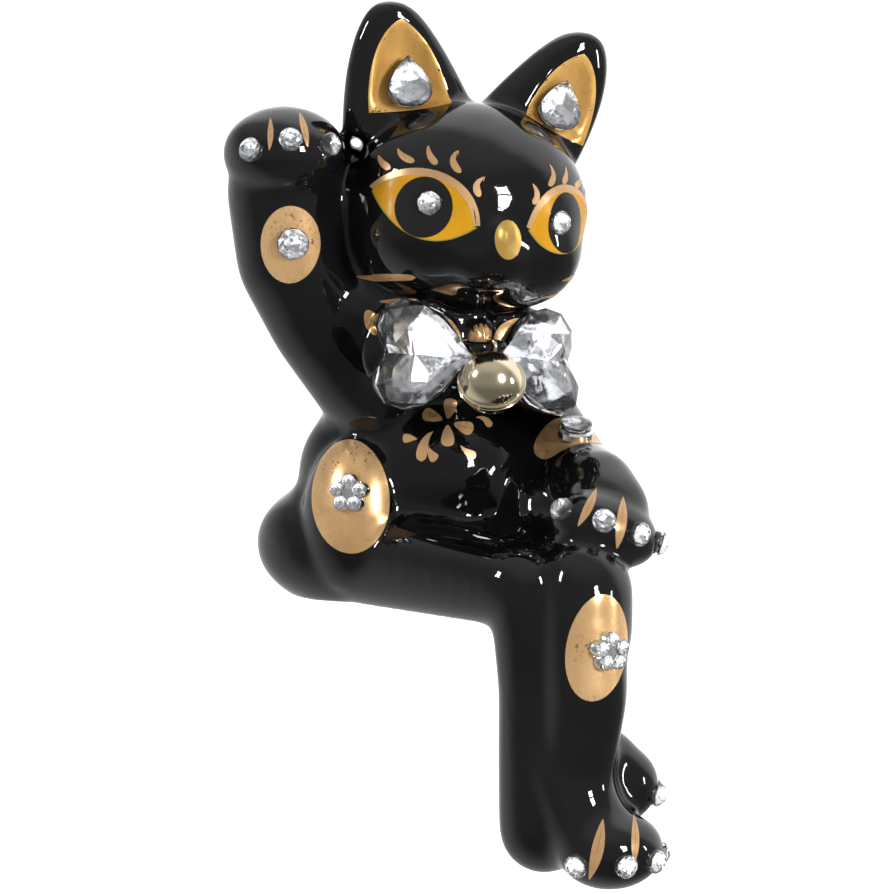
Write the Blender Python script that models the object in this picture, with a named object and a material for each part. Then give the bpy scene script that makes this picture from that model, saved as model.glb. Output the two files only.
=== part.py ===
"""A glazed pottery beckoning cat that sits on the edge of a shelf with its legs crossed.

The cat faces -Y, its own left is +X, and the flat underside of its seat lies at z = 0 with the
origin in the middle of it. The legs hang below that plane, in front of the shelf. The pottery is
one hollow casting. Every crystal, setting and bell part is a separate piece glued or hung on it.

All lengths below are in millimetres, and MM turns them into Blender's metres.
"""

import math

import bmesh
import bpy
from mathutils import Euler, Matrix, Vector
from mathutils.bvhtree import BVHTree

MM = 0.001

# Casting
WALL = 3.2
SKIN_VOXEL = 1.5
SKIN_PASSES = 9
DETAIL_VOXEL = 1.25
DETAIL_PASSES = 3
CAVITY_VOXEL = 5.0
SKIN_TRIANGLES = 6600
VENT_RADIUS = 3.5
VENT_PLACE = (0.0, 12.0)

# Shelf corner that the seat and the legs fit round
SHELF_FRONT = -43.2
SHELF_ROUND = 6.0

# Head, placed by its centre, turned to the cat's right and tipped to its left
HEAD_CENTRE = (1.0, -15.5, 78.5)
HEAD_TURN = -15.0
HEAD_TIP = 9.0
EAR_RISE = 26.6
EAR_TUCK = {"right": 5.0, "left": 8.8}
EAR_INNER = {"right": 6.8, "left": 8.8}
EAR_APEX = {"right": (18.8, 33.9), "left": (19.2, 32.8)}

# Crystals. Levels are (share of the outline, height) from the flat back to the table.
ROUND_LEVELS = [(0.86, 0.0), (1.0, 0.16), (1.0, 0.3), (0.52, 0.8)]
DROP_LEVELS = [(0.9, 0.0), (1.0, 0.5), (1.0, 0.9), (0.55, 2.6)]
HEART_LEVELS = [(0.93, 0.0), (1.0, 0.7), (1.0, 1.4), (0.8, 3.2), (0.56, 4.8)]
REST_SHARES = (0.4, 0.7, 0.9, 1.04)
GLUE_GAP = 0.3
LIFT_REACH = 4.0
HEART_REACH = 14.0
CLAW_STONE = 4.7
EYE_STONE = 4.7
PAD_STONE = 6.2
HEART_SIZE = 22.2
PETAL_STONE = 2.7
CUP_HEIGHT = 1.1
EAR_STONE = (8.8, 10.2)
HEART_WAIST = 0.45
HEART_PLUMP = 1.75
HEART_OFF = {"right": 13.3, "left": 10.9}
HEART_RISE = {"right": 1.1, "left": 0.2}
HEART_FRONT = -1.6
HEART_YAW = 8.0
HEART_LEAN = {"right": 0.0, "left": 16.0}
FLOWER_REACH = 3.9
FLOWER_PLATE = 0.8
PETAL_RING = 2.35
PETAL_NOTCH = 1.0

# Bell
BELL_RADIUS = 6.0
BELL_WALL = 0.5
BELL_RIM = 0.6
BELL_CENTRE = (-4.2, -32.7, 45.4)
BELL_OUT = (-0.39, -0.62, 0.68)
EYE_RING = 1.5
EYE_WIRE = 0.35
PELLET_RADIUS = 1.8
STAPLE_HALF = 3.0
STAPLE_WIRE = 0.8
SLIT_HALF = 3.6
SLIT_WIDE = 0.5

# Looks: name, colour, roughness, metallic
GLAZE = ("black_glaze", (0.012, 0.011, 0.012), 0.08, 0.0)
CRYSTAL = ("clear_crystal", (0.86, 0.88, 0.9), 0.05, 0.0)
BELL_GOLD = ("champagne_gold", (0.83, 0.72, 0.5), 0.14, 1.0)
GOLD_CUP = ("bronze_gold", (0.62, 0.46, 0.28), 0.3, 1.0)
SILVER = ("silver", (0.8, 0.8, 0.78), 0.2, 1.0)
STEEL = ("steel", (0.55, 0.55, 0.56), 0.3, 1.0)


def rotation(turn):
    """A rotation matrix from three angles in degrees."""
    return Euler([math.radians(angle) for angle in turn]).to_matrix().to_4x4()


def head_frame():
    """The head's own frame: x to its left, -y forward, z up, origin at its centre."""
    centre = Matrix.Translation(HEAD_CENTRE)
    turn = Matrix.Rotation(math.radians(HEAD_TURN), 4, "Z")
    tip = Matrix.Rotation(math.radians(HEAD_TIP), 4, "Y")
    return centre @ turn @ tip


class Clay:
    """Closed lumps, in millimetres, that overlap and that a voxel remesh joins into one skin."""

    def __init__(self, shrink=0.0):
        self.lumps = bmesh.new()
        self.shrink = shrink
        self.frame = Matrix.Identity(4)

    def ball(self, centre, radii, turn=(0.0, 0.0, 0.0)):
        size = Matrix.Diagonal([radius - self.shrink for radius in radii] + [1.0])
        place = self.frame @ Matrix.Translation(centre) @ rotation(turn) @ size
        bmesh.ops.create_icosphere(self.lumps, subdivisions=3, radius=1.0, matrix=place)

    def limb(self, *stations):
        """Round balls (x, y, z, radius) joined one to the next by cones."""
        for x, y, z, radius in stations:
            self.ball((x, y, z), (radius, radius, radius))
        for (*start, first), (*end, second) in zip(stations, stations[1:]):
            along = Vector(end) - Vector(start)
            upright = along.to_track_quat("Z", "Y").to_matrix().to_4x4()
            middle = Matrix.Translation((Vector(start) + Vector(end)) / 2)
            bmesh.ops.create_cone(
                self.lumps,
                cap_ends=True,
                segments=24,
                radius1=first - self.shrink,
                radius2=second - self.shrink,
                depth=along.length,
                matrix=self.frame @ middle @ upright,
            )

    def loft(self, rings):
        """A closed skin over rings of points, each ring a list of the same number of points."""
        made = [[self.lumps.verts.new(self.frame @ Vector(point)) for point in ring] for ring in rings]
        for lower, upper in zip(made, made[1:]):
            count = len(lower)
            for i in range(count):
                j = (i + 1) % count
                self.lumps.faces.new((lower[i], lower[j], upper[j], upper[i]))
        self.lumps.faces.new(reversed(made[0]))
        self.lumps.faces.new(made[-1])

    def add_mesh(self, mesh):
        """Takes in a mesh that is already in metres."""
        grown = mesh.copy()
        grown.transform(Matrix.Scale(1 / MM, 4))
        self.lumps.from_mesh(grown)
        bpy.data.meshes.remove(grown)

    def to_object(self, name):
        self.lumps.transform(Matrix.Scale(MM, 4))
        mesh = bpy.data.meshes.new(name)
        self.lumps.to_mesh(mesh)
        self.lumps.free()
        return link(name, mesh)


def link(name, mesh):
    obj = bpy.data.objects.new(name, mesh)
    bpy.context.scene.collection.objects.link(obj)
    return obj


def settle(obj):
    """Applies an object's modifiers and returns it."""
    graph = bpy.context.evaluated_depsgraph_get()
    mesh = bpy.data.meshes.new_from_object(obj.evaluated_get(graph))
    obj.modifiers.clear()
    obj.data = mesh
    return obj


def one_skin(obj, voxel, passes):
    """Joins an object's lumps into one skin and rounds it."""
    remesh = obj.modifiers.new("one_skin", "REMESH")
    remesh.mode = "VOXEL"
    remesh.voxel_size = voxel * MM
    smooth = obj.modifiers.new("round_off", "SMOOTH")
    smooth.factor = 0.5
    smooth.iterations = passes
    return settle(obj)


def cut(obj, cutter):
    """Takes the cutter away from the object with an exact Boolean, and removes the cutter."""
    boolean = obj.modifiers.new("cut", "BOOLEAN")
    boolean.operation = "DIFFERENCE"
    boolean.solver = "EXACT"
    boolean.object = cutter
    settle(obj)
    bpy.data.objects.remove(cutter, do_unlink=True)
    return obj


def model_trunk(clay):
    clay.ball((0.0, 4.0, 33.0), (17.5, 17.0, 25.0))
    clay.ball((0.0, -3.0, 24.0), (18.0, 17.0, 19.0))
    clay.ball((1.5, -6.0, 25.5), (16.5, 17.0, 16.5))
    clay.ball((0.0, -7.5, 52.0), (15.0, 13.5, 13.0))
    clay.ball((0.0, 11.0, 15.0), (21.0, 18.5, 16.0))
    clay.limb((0.0, 22.0, 8.0, 6.0), (2.0, 27.5, 13.0, 5.4))
    for side in (-1.0, 1.0):
        clay.ball((side * 11.0, 8.5, 10.5), (19.0, 19.5, 13.5))
        clay.ball((side * 8.0, 6.0, 24.0), (14.5, 14.5, 16.0))
        clay.ball((side * 12.0, -2.0, 43.0), (10.0, 11.0, 11.0))


def model_seat(clay):
    clay.ball((0.0, -10.0, 8.0), (17.0, 30.0, 9.5))
    clay.limb((-13.0, -4.0, 9.0, 10.0), (-6.0, -45.5, 7.5, 8.4))
    clay.limb((13.0, -4.0, 10.0, 10.0), (0.5, -57.0, 9.0, 8.4))


def model_legs(clay):
    clay.limb(
        (-5.0, -48.5, 6.0, 8.4),
        (-4.2, -49.7, -12.0, 8.0),
        (-4.2, -50.0, -28.0, 8.2),
        (-3.8, -50.7, -38.7, 8.8),
    )
    clay.limb((-3.8, -50.7, -38.2, 8.6), (11.8, -53.5, -31.0, 7.8))
    clay.limb(
        (0.0, -58.0, 7.0, 8.4),
        (-0.2, -59.2, -12.0, 8.2),
        (-1.2, -58.6, -24.0, 7.3),
    )
    clay.limb((3.2, -57.4, 8.0, 7.4), (3.2, -57.8, -1.0, 7.1))
    clay.limb((-2.4, -56.2, -27.0, 7.9), (-0.2, -60.5, -38.0, 8.0))
    clay.ball((2.4, -64.2, -41.2), (10.9, 9.4, 7.8))
    clay.ball((8.3, -52.5, -27.6), (7.6, 7.8, 8.2))


def model_head(clay):
    clay.frame = head_frame()
    clay.ball((0.0, 0.0, 0.0), (24.3, 22.0, 20.5))
    for side in (-1.0, 1.0):
        clay.ball((side * 9.0, -4.0, -6.0), (14.0, 16.0, 13.0))
    clay.ball((0.0, -13.5, -8.5), (11.0, 10.0, 8.0))
    clay.frame = Matrix.Identity(4)


def model_right_arm(clay):
    """The raised arm, fused to the side of the head."""
    clay.limb(
        (-12.0, 1.0, 42.0, 9.8),
        (-23.8, -0.5, 55.5, 9.6),
        (-30.3, -1.0, 68.0, 10.6),
        (-31.8, -1.0, 82.0, 11.2),
    )
    clay.ball((-20.5, 1.0, 69.0), (9.0, 9.0, 25.0))
    clay.limb((-20.0, -6.0, 60.0, 6.0), (-12.0, -12.0, 56.0, 7.0))


def model_left_arm(clay):
    """The lowered arm, with its paw on the crossed knees."""
    clay.limb(
        (15.0, -3.0, 44.0, 10.0),
        (22.0, -10.5, 35.5, 7.5),
        (16.6, -33.0, 26.6, 6.8),
        (12.0, -45.0, 25.0, 7.8),
        (10.8, -50.0, 21.2, 8.6),
    )
    clay.limb((14.0, -8.0, 30.0, 9.0), (11.0, -30.0, 19.0, 8.0))


def ear_ring(side, share, front, back):
    """One cross-section of an ear, share 0 at the skull and 1 at the tip."""
    tuck = EAR_TUCK["left" if side > 0 else "right"] * (1.0 - share) ** 1.5
    half = 15.7 * (1.0 - share) ** 0.64 + 2.8 - tuck / 2
    middle = Vector((side * (12.4 + 7.2 * share - tuck / 2), 4.0 - share, 10.0 + EAR_RISE * share))
    points = []
    for step in range(20):
        angle = 2 * math.pi * step / 20
        depth = front if math.sin(angle) < 0 else back
        thick = depth * (1.0 - 0.55 * share) + 0.8
        points.append(middle + Vector((half * math.cos(angle), thick * math.sin(angle), 0.0)))
    return points


def model_ears(clay):
    clay.frame = head_frame()
    for side in (-1.0, 1.0):
        clay.loft([ear_ring(side, share / 8, 5.5, 8.0) for share in range(9)])
    clay.frame = Matrix.Identity(4)


def bezier(handles, count):
    """Points along a Bezier curve with any number of handles."""
    points = []
    for step in range(count):
        row = [Vector(handle) for handle in handles]
        while len(row) > 1:
            row = [a.lerp(b, step / (count - 1)) for a, b in zip(row, row[1:])]
        points.append(row[0])
    return points


def ear_arch(side):
    """The pointed arch of an ear's inside, as (x, z) in the head's frame."""
    word = "left" if side > 0 else "right"
    near = EAR_INNER[word]
    x, z = EAR_APEX[word]
    outer = bezier([(22.4, 15.0), (24.2, 22.5), (x + 4.4, z - 2.7), (x, z)], 16)
    inner = bezier([(x, z), (x - 4.8, z - 1.7), (near + 2.2, z - 6.9), (near, 19.3)], 16)
    sill = bezier([(near, 19.3), ((near + 22.4) / 2, 16.2), (22.4, 15.0)], 14)
    return [Vector((side * point.x, point.y)) for point in outer[:-1] + inner[:-1] + sill[:-1]]


def ear_scoop(side):
    """The bowl in front of an ear."""
    arch = ear_arch(side)
    if side > 0:
        arch = arch[::-1]
    centre = sum(arch, Vector((0.0, 0.0))) / len(arch)
    scoop = Clay()
    scoop.frame = head_frame()
    rings = []
    for share, depth in ((0.98, -7.0), (0.97, -1.6), (0.9, -0.1), (0.72, 1.0), (0.4, 1.7), (0.1, 1.9)):
        spots = [centre.lerp(point, share) for point in arch]
        rings.append([(spot.x, depth, spot.y) for spot in spots])
    scoop.loft(rings)
    return scoop.to_object("ear_scoop")


def model_face(clay):
    clay.frame = head_frame()
    clay.ball((0.0, -21.6, -5.0), (3.0, 2.4, 4.2))
    clay.frame = Matrix.Identity(4)


def raised_paw_frame():
    return Matrix.Translation((-32.2, -2.0, 89.1)) @ rotation((0.0, 0.0, -30.0))


def resting_paw_frame():
    return Matrix.Translation((7.0, -53.5, 18.5)) @ rotation((0.0, 20.0, 0.0))


def model_paws(clay):
    clay.frame = raised_paw_frame()
    clay.ball((0.0, -1.5, 0.0), (12.0, 12.7, 9.2))
    clay.frame = resting_paw_frame()
    clay.ball((0.8, 0.0, 0.0), (11.6, 9.2, 7.2))
    clay.ball((2.0, 3.5, 2.2), (10.4, 8.5, 7.2))
    clay.frame = Matrix.Identity(4)


def model_haunches(clay):
    for side in (-1.0, 1.0):
        clay.ball((side * 17.5, -3.0, 18.0), (9.5, 11.5, 16.0), (0.0, side * -8.0, 0.0))


def bow_frame():
    return Matrix.Translation((-0.4, -21.0, 48.3)) @ rotation((0.0, 5.0, 0.0))


def model_bow(clay):
    clay.frame = bow_frame()
    for side in (-1.0, 1.0):
        clay.ball((side * 13.3, 2.8, 1.4), (10.8, 3.6, 10.0), (0.0, 0.0, side * 8.0))
    clay.ball((0.5, 2.5, 5.0), (3.6, 4.4, 4.4))
    clay.frame = Matrix.Identity(4)


def shelf_corner():
    """The shelf that the cat sits on, with its top front edge rounded."""
    back = 60.0
    half = 60.0
    drop = 90.0
    outline = [(back, -drop), (back, 0.0)]
    for step in range(7):
        angle = math.radians(90.0 * step / 6)
        y = SHELF_FRONT + SHELF_ROUND * (1.0 - math.sin(angle))
        z = -SHELF_ROUND * (1.0 - math.cos(angle))
        outline.append((y, z))
    outline.append((SHELF_FRONT, -drop))
    shelf = Clay()
    shelf.loft([[(x, y, z) for y, z in outline] for x in (-half, half)])
    return shelf.to_object("shelf_corner")


def body_skin():
    """The outer skin of the casting, before it is hollowed."""
    clay = Clay()
    for model in (model_trunk, model_seat, model_legs, model_head, model_right_arm, model_left_arm):
        model(clay)
    core = one_skin(clay.to_object("core"), SKIN_VOXEL, SKIN_PASSES)
    clay = Clay()
    clay.add_mesh(core.data)
    bpy.data.objects.remove(core, do_unlink=True)
    for model in (model_ears, model_paws, model_haunches, model_face, model_bow):
        model(clay)
    skin = clay.to_object("skin")
    one_skin(skin, DETAIL_VOXEL, DETAIL_PASSES)
    for side in (-1.0, 1.0):
        cut(skin, ear_scoop(side))
    return one_skin(skin, DETAIL_VOXEL, DETAIL_PASSES)


def body_cavity():
    """The hollow that the poured-out slip leaves."""
    clay = Clay(WALL)
    for model in (model_trunk, model_seat, model_legs, model_head):
        model(clay)
    return one_skin(clay.to_object("cavity"), CAVITY_VOXEL, 2)


def vent():
    """The hole under the seat that lets the kiln's air out."""
    rings = []
    for z in (-5.0, 12.0):
        ring = []
        for step in range(18):
            angle = 2 * math.pi * step / 18
            x = VENT_PLACE[0] + VENT_RADIUS * math.cos(angle)
            y = VENT_PLACE[1] + VENT_RADIUS * math.sin(angle)
            ring.append((x, y, z))
        rings.append(ring)
    hole = Clay()
    hole.loft(rings)
    return hole.to_object("vent")


def make_body():
    body = body_skin()
    coarse = body.modifiers.new("fewer_faces", "DECIMATE")
    coarse.ratio = min(1.0, SKIN_TRIANGLES / (2 * len(body.data.polygons)))
    settle(body)
    cut(body, shelf_corner())
    cut(body, body_cavity())
    cut(body, vent())
    body.name = "cat_body"
    finish(body, GLAZE)
    return body


# Pieces that sit on the body


class Skin:
    """The body's outer surface, asked where a straight line from outside first meets it."""

    def __init__(self, body):
        graph = bpy.context.evaluated_depsgraph_get()
        self.tree = BVHTree.FromObject(body, graph)

    def meet(self, start, toward):
        """The point, in millimetres, and the outward normal where the line meets the skin."""
        way = (Vector(toward) - Vector(start)).normalized()
        point, normal, _, _ = self.tree.ray_cast(Vector(start) * MM, way)
        return point / MM, normal

    def rest(self, frame, outline, reach=LIFT_REACH):
        """The frame lifted until a flat back of that outline clears the skin by the glue's gap."""
        inward = -frame.col[2].to_3d()
        highest = 0.0
        for x, y in [(x * share, y * share) for share in REST_SHARES for x, y in outline]:
            start = frame @ Vector((x, y, reach))
            point, _, _, _ = self.tree.ray_cast(start * MM, inward)
            if point:
                highest = max(highest, (frame.inverted() @ (point / MM)).z)
        return frame @ Matrix.Translation((0.0, 0.0, highest + GLUE_GAP))


def seat_frame(point, normal, top=(0.0, 0.0, 1.0)):
    """A frame on the skin: z outward, y as near as it can be to the direction given as top."""
    out = normal.normalized()
    across = Vector(top).cross(out).normalized()
    up = out.cross(across)
    turn = Matrix((across, up, out)).transposed().to_4x4()
    return Matrix.Translation(point) @ turn


def round_rings(levels, sides):
    """Rings of points for a turned piece, one for each (radius, height)."""
    rings = []
    for radius, height in levels:
        angles = [2 * math.pi * step / sides for step in range(sides)]
        rings.append([(radius * math.cos(a), radius * math.sin(a), height) for a in angles])
    return rings


def scaled_rings(outline, levels):
    """Rings that repeat one outline, one for each (share of its size, height)."""
    return [[(x * share, y * share, height) for x, y in outline] for share, height in levels]


def solid(name, rings, frame, look):
    """A closed piece over rings of points, placed by a frame given in millimetres."""
    clay = Clay()
    clay.frame = frame
    clay.loft(rings)
    return finish(clay.to_object(name), look)


def circle(radius, sides):
    angles = [2 * math.pi * step / sides for step in range(sides)]
    return [(radius * math.cos(a), radius * math.sin(a)) for a in angles]


def brilliant(name, frame, size, sides=10):
    """A flat-backed round crystal with a small table."""
    levels = [(share * size / 2, height * size / 2) for share, height in ROUND_LEVELS]
    return solid(name, round_rings(levels, sides), frame, CRYSTAL)


def glued_brilliant(skin, name, point, normal, size):
    """A round crystal resting on the skin."""
    frame = skin.rest(seat_frame(point, normal), circle(0.43 * size, 10))
    return brilliant(name, frame, size)


def heart_outline(size, points=28):
    """A plump heart with its point at -y, its width and height both about the size."""
    outline = []
    for step in range(points):
        t = 2 * math.pi * (step + 0.5) / points
        x = 16 * math.sin(t) ** 3
        y = 13 * math.cos(t) - 5 * math.cos(2 * t) - 2 * math.cos(3 * t) - math.cos(4 * t)
        below_waist = max(0.0, (12.0 - y) / 29 - HEART_WAIST)
        plump = 1 + HEART_PLUMP * below_waist
        outline.append((-x * plump * size / 33, (y + 2.5) * size / 31))
    return outline


def pear_outline(width, height, points=18):
    """A drop with its point at +y."""
    outline = []
    for step in range(points):
        t = 2 * math.pi * step / points
        y = -math.cos(t)
        x = math.sin(t) * math.sqrt((1 - y) / 2) ** 0.9 * 1.18
        outline.append((x * width / 2, y * height / 2))
    return outline


def petal_outline(reach, depth, points=30):
    """The edge of a five-petalled flower."""
    outline = []
    for step in range(points):
        t = 2 * math.pi * step / points
        radius = reach - depth * (1 - abs(math.cos(2.5 * t)))
        outline.append((-radius * math.sin(t), radius * math.cos(t)))
    return outline


def claw_stones(skin):
    """Crystals round the front of each paw, where the claws would be."""
    paws = [
        ("raised_paw", raised_paw_frame(), (0.0, -1.5, 1.8), ((-31.0, -4.0), (5.0, 5.0), (46.0, 0.0))),
        ("resting_paw", resting_paw_frame(), (0.8, 0.0, 0.8),
         ((-84.0, 0.0), (-38.0, 0.0), (12.0, 0.0), (66.0, 0.0))),
        ("left_foot", Matrix.Translation((2.4, -64.2, -41.6)), (0.0, 0.0, 0.0),
         ((-74.0, -6.0), (-17.0, -6.0), (32.0, -6.0), (80.0, -6.0))),
        ("right_foot", Matrix.Translation((11.8, -53.5, -31.5)), (0.0, 0.0, 0.0),
         ((40.0, -10.0), (88.0, -10.0))),
    ]
    for paw, frame, middle, ways in paws:
        for count, (turn, tilt) in enumerate(ways, 1):
            turn = math.radians(turn)
            tilt = math.radians(tilt)
            out = Vector((math.sin(turn) * math.cos(tilt), -math.cos(turn) * math.cos(tilt), math.sin(tilt)))
            start = frame @ (Vector(middle) + out * 30.0)
            point, normal = skin.meet(start, frame @ Vector(middle))
            glued_brilliant(skin, f"{paw}_stone_{count}", point, normal, CLAW_STONE)


def head_point(x, y, z):
    return head_frame() @ Vector((x, y, z))


def face_stones(skin):
    """The crystal in each pupil and the drop in each ear."""
    for side, word in ((-1.0, "right"), (1.0, "left")):
        start, inside = head_point(side * 14.2, -50.0, -0.4), head_point(side * 12.4, 0.0, -0.6)
        point, normal = skin.meet(start, inside)
        glued_brilliant(skin, f"{word}_eye_stone", point, normal, EYE_STONE)
        start, inside = head_point(side * 15.5, -40.0, 21.5), head_point(side * 15.5, 10.0, 21.5)
        point, normal = skin.meet(start, inside)
        toward_tip = head_point(side * 19.0, 0.0, 40.0) - head_point(side * 15.5, 0.0, 20.0)
        outline = pear_outline(*EAR_STONE)
        frame = skin.rest(seat_frame(point, normal, toward_tip), outline)
        solid(f"{word}_ear_stone", scaled_rings(outline, DROP_LEVELS), frame, CRYSTAL)


def pad_stones(skin):
    """The single crystals on the two arms."""
    point, normal = skin.meet((-42.0, -24.0, 73.3), (-30.8, -1.0, 71.3))
    glued_brilliant(skin, "right_forearm_stone", point, normal, PAD_STONE)
    point, normal = skin.meet((16.0, -43.5, 60.0), (16.0, -32.0, 35.0))
    frame = skin.rest(seat_frame(point, normal), circle(0.42 * PAD_STONE, 10))
    cup = round_rings([(0.42 * PAD_STONE, 0.0), (0.56 * PAD_STONE, 0.3), (0.56 * PAD_STONE, CUP_HEIGHT)], 14)
    solid("left_arm_setting", cup, frame, SILVER)
    brilliant("left_arm_stone", frame @ Matrix.Translation((0.0, 0.0, CUP_HEIGHT + GLUE_GAP)), PAD_STONE)


def flowers(skin):
    """Five small crystals in a flower-shaped setting on each haunch and on the crossed shin."""
    places = [
        ("right_haunch", (-40.0, -36.0, 23.6), (-17.5, -3.0, 22.6)),
        ("left_haunch", (40.0, -14.0, 23.6), (17.5, -3.0, 22.6)),
        ("left_shin", (1.5, -90.0, -2.0), (-0.6, -58.3, -3.0)),
    ]
    for word, start, toward in places:
        point, normal = skin.meet(start, toward)
        outline = petal_outline(FLOWER_REACH, PETAL_NOTCH)
        frame = skin.rest(seat_frame(point, normal), outline)
        plate = scaled_rings(outline, [(0.92, 0.0), (1.0, 0.35), (1.0, FLOWER_PLATE)])
        solid(f"{word}_flower_setting", plate, frame, GOLD_CUP)
        for count in range(5):
            angle = 2 * math.pi * count / 5
            spot = (-PETAL_RING * math.sin(angle), PETAL_RING * math.cos(angle), FLOWER_PLATE + GLUE_GAP)
            name = f"{word}_flower_stone_{count + 1}"
            brilliant(name, frame @ Matrix.Translation(spot), PETAL_STONE, sides=8)


def hearts(skin):
    """The two heart crystals that make the bow, their points toward the bell."""
    for side, word in ((-1.0, "right"), (1.0, "left")):
        tilt = rotation((90.0 - HEART_LEAN[word], 0.0, side * HEART_YAW))
        spin = Matrix.Rotation(math.radians(side * -90.0), 4, "Z")
        middle = (side * HEART_OFF[word], HEART_FRONT, HEART_RISE[word])
        place = bow_frame() @ Matrix.Translation(middle) @ tilt @ spin
        outline = heart_outline(HEART_SIZE)
        seat = skin.rest(place, outline, HEART_REACH)
        solid(f"{word}_heart_crystal", scaled_rings(outline, HEART_LEVELS), seat, CRYSTAL)


# The bell


def bell_frame():
    """The bell's own frame: z through the middle of its front cup, y up toward its eye."""
    out = Vector(BELL_OUT).normalized()
    return seat_frame(Vector(BELL_CENTRE), out)


def cup_rings(lift):
    """One thin cup with a flat rim, open towards -z, its rim lifted off the joint plane."""
    inner = BELL_RADIUS - BELL_WALL
    outer = [90.0 * step / 5 for step in range(6)]
    levels = []
    for angle in reversed(outer[1:]):
        a = math.radians(angle)
        levels.append((max(0.25, inner * math.cos(a)), lift + inner * math.sin(a)))
    levels.append((inner, lift))
    levels.append((BELL_RADIUS + BELL_RIM, lift))
    levels.append((BELL_RADIUS + BELL_RIM, lift + 0.45))
    levels.append((BELL_RADIUS, lift + 0.6))
    for angle in outer[1:]:
        a = math.radians(angle)
        levels.append((max(0.25, BELL_RADIUS * math.cos(a)), lift + BELL_RADIUS * math.sin(a)))
    return round_rings(levels, 20)


def make_bell(skin):
    """A bell of two crimped cups with a pellet inside, hung by its eye on a glazed staple."""
    frame = bell_frame()
    eye = frame @ Vector((0.0, BELL_RADIUS + BELL_RIM + EYE_RING + EYE_WIRE + GLUE_GAP, 0.0))
    front = solid("bell_front_cup", cup_rings(GLUE_GAP / 2), frame, BELL_GOLD)
    flip = Matrix.Rotation(math.pi, 4, "Y")
    back = solid("bell_back_cup", cup_rings(GLUE_GAP / 2), frame @ flip, BELL_GOLD)
    slit = Clay()
    slit.frame = frame @ flip
    half, wide = SLIT_HALF, SLIT_WIDE
    corners = [(-half, -wide), (half, -wide), (half, wide), (-half, wide)]
    slit.loft([[(x, y, z) for x, y in corners] for z in (BELL_RADIUS / 2, 2 * BELL_RADIUS)])
    cut(back, slit.to_object("slit"))
    finish(back, BELL_GOLD)
    ring = ring_object("bell_eye", EYE_RING, EYE_WIRE, eye, BELL_GOLD)
    rest = Vector(BELL_CENTRE) + Vector((0.0, 0.0, PELLET_RADIUS + GLUE_GAP + BELL_WALL - BELL_RADIUS))
    pellet = Clay()
    pellet.ball(rest, [PELLET_RADIUS] * 3)
    pellet = finish(pellet.to_object("bell_pellet"), STEEL)
    for piece in (front, back, ring):
        set_origin(piece, eye)
    set_origin(pellet, rest)
    make_staple(skin, eye)


def ring_object(name, ring, wire, centre, look):
    """A wire ring round the x axis."""
    mesh = bmesh.new()
    turns, sides = 16, 8
    rows = []
    for i in range(turns):
        a = 2 * math.pi * i / turns
        row = []
        for j in range(sides):
            b = 2 * math.pi * j / sides
            reach = ring + wire * math.cos(b)
            point = Vector((wire * math.sin(b), reach * math.cos(a), reach * math.sin(a)))
            row.append(mesh.verts.new((Vector(centre) + point) * MM))
        rows.append(row)
    for i in range(turns):
        for j in range(sides):
            k = (j + 1) % sides
            after = rows[(i + 1) % turns]
            mesh.faces.new((rows[i][j], rows[i][k], after[k], after[j]))
    bmesh.ops.recalc_face_normals(mesh, faces=mesh.faces)
    data = bpy.data.meshes.new(name)
    mesh.to_mesh(data)
    mesh.free()
    return finish(link(name, data), look)


def make_staple(skin, eye):
    """The staple: a bar along x through the bell's eye, with both ends turned back to the bow."""
    ends = (eye.x - STAPLE_HALF, eye.x + STAPLE_HALF)
    probes = [(x, eye.z + rise) for x in ends for rise in (-1.0, 0.0, 1.0)]
    foot = min(skin.meet((x, -60.0, z), (x, 0.0, z))[0].y for x, z in probes) - GLUE_GAP
    corners = [(-STAPLE_HALF, foot), (-STAPLE_HALF, eye.y), (STAPLE_HALF, eye.y), (STAPLE_HALF, foot)]
    curve = bpy.data.curves.new("bell_staple", "CURVE")
    curve.dimensions = "3D"
    curve.bevel_depth = STAPLE_WIRE * MM
    curve.bevel_resolution = 2
    curve.use_fill_caps = True
    route = curve.splines.new("POLY")
    route.points.add(len(corners) - 1)
    for spot, (x, y) in zip(route.points, corners):
        spot.co = ((eye.x + x) * MM, y * MM, eye.z * MM, 1.0)
    obj = bpy.data.objects.new("bell_staple", curve)
    bpy.context.scene.collection.objects.link(obj)
    obj.data.materials.append(material(*GLAZE))


# Looks and order


def material(name, colour, roughness, metallic):
    found = bpy.data.materials.get(name)
    if found:
        return found
    made = bpy.data.materials.new(name)
    made.use_nodes = True
    shader = made.node_tree.nodes["Principled BSDF"]
    shader.inputs["Base Color"].default_value = (*colour, 1.0)
    shader.inputs["Roughness"].default_value = roughness
    shader.inputs["Metallic"].default_value = metallic
    return made


def finish(obj, look):
    """Gives an object its material and turns its faces outward."""
    mesh = bmesh.new()
    mesh.from_mesh(obj.data)
    bmesh.ops.recalc_face_normals(mesh, faces=mesh.faces)
    mesh.to_mesh(obj.data)
    mesh.free()
    obj.data.name = obj.name
    obj.data.materials.clear()
    obj.data.materials.append(material(*look))
    obj.data.shade_smooth()
    obj.data.set_sharp_from_angle(angle=math.radians(35))
    return obj


def set_origin(obj, place):
    """Moves an object's origin to a place, in millimetres, and leaves its shape where it is."""
    origin = Vector(place) * MM
    obj.data.transform(Matrix.Translation(-origin))
    obj.location = origin


def clear_scene():
    for obj in list(bpy.data.objects):
        bpy.data.objects.remove(obj, do_unlink=True)


def main():
    clear_scene()
    skin = Skin(make_body())
    claw_stones(skin)
    face_stones(skin)
    pad_stones(skin)
    flowers(skin)
    hearts(skin)
    make_bell(skin)


main()
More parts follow.
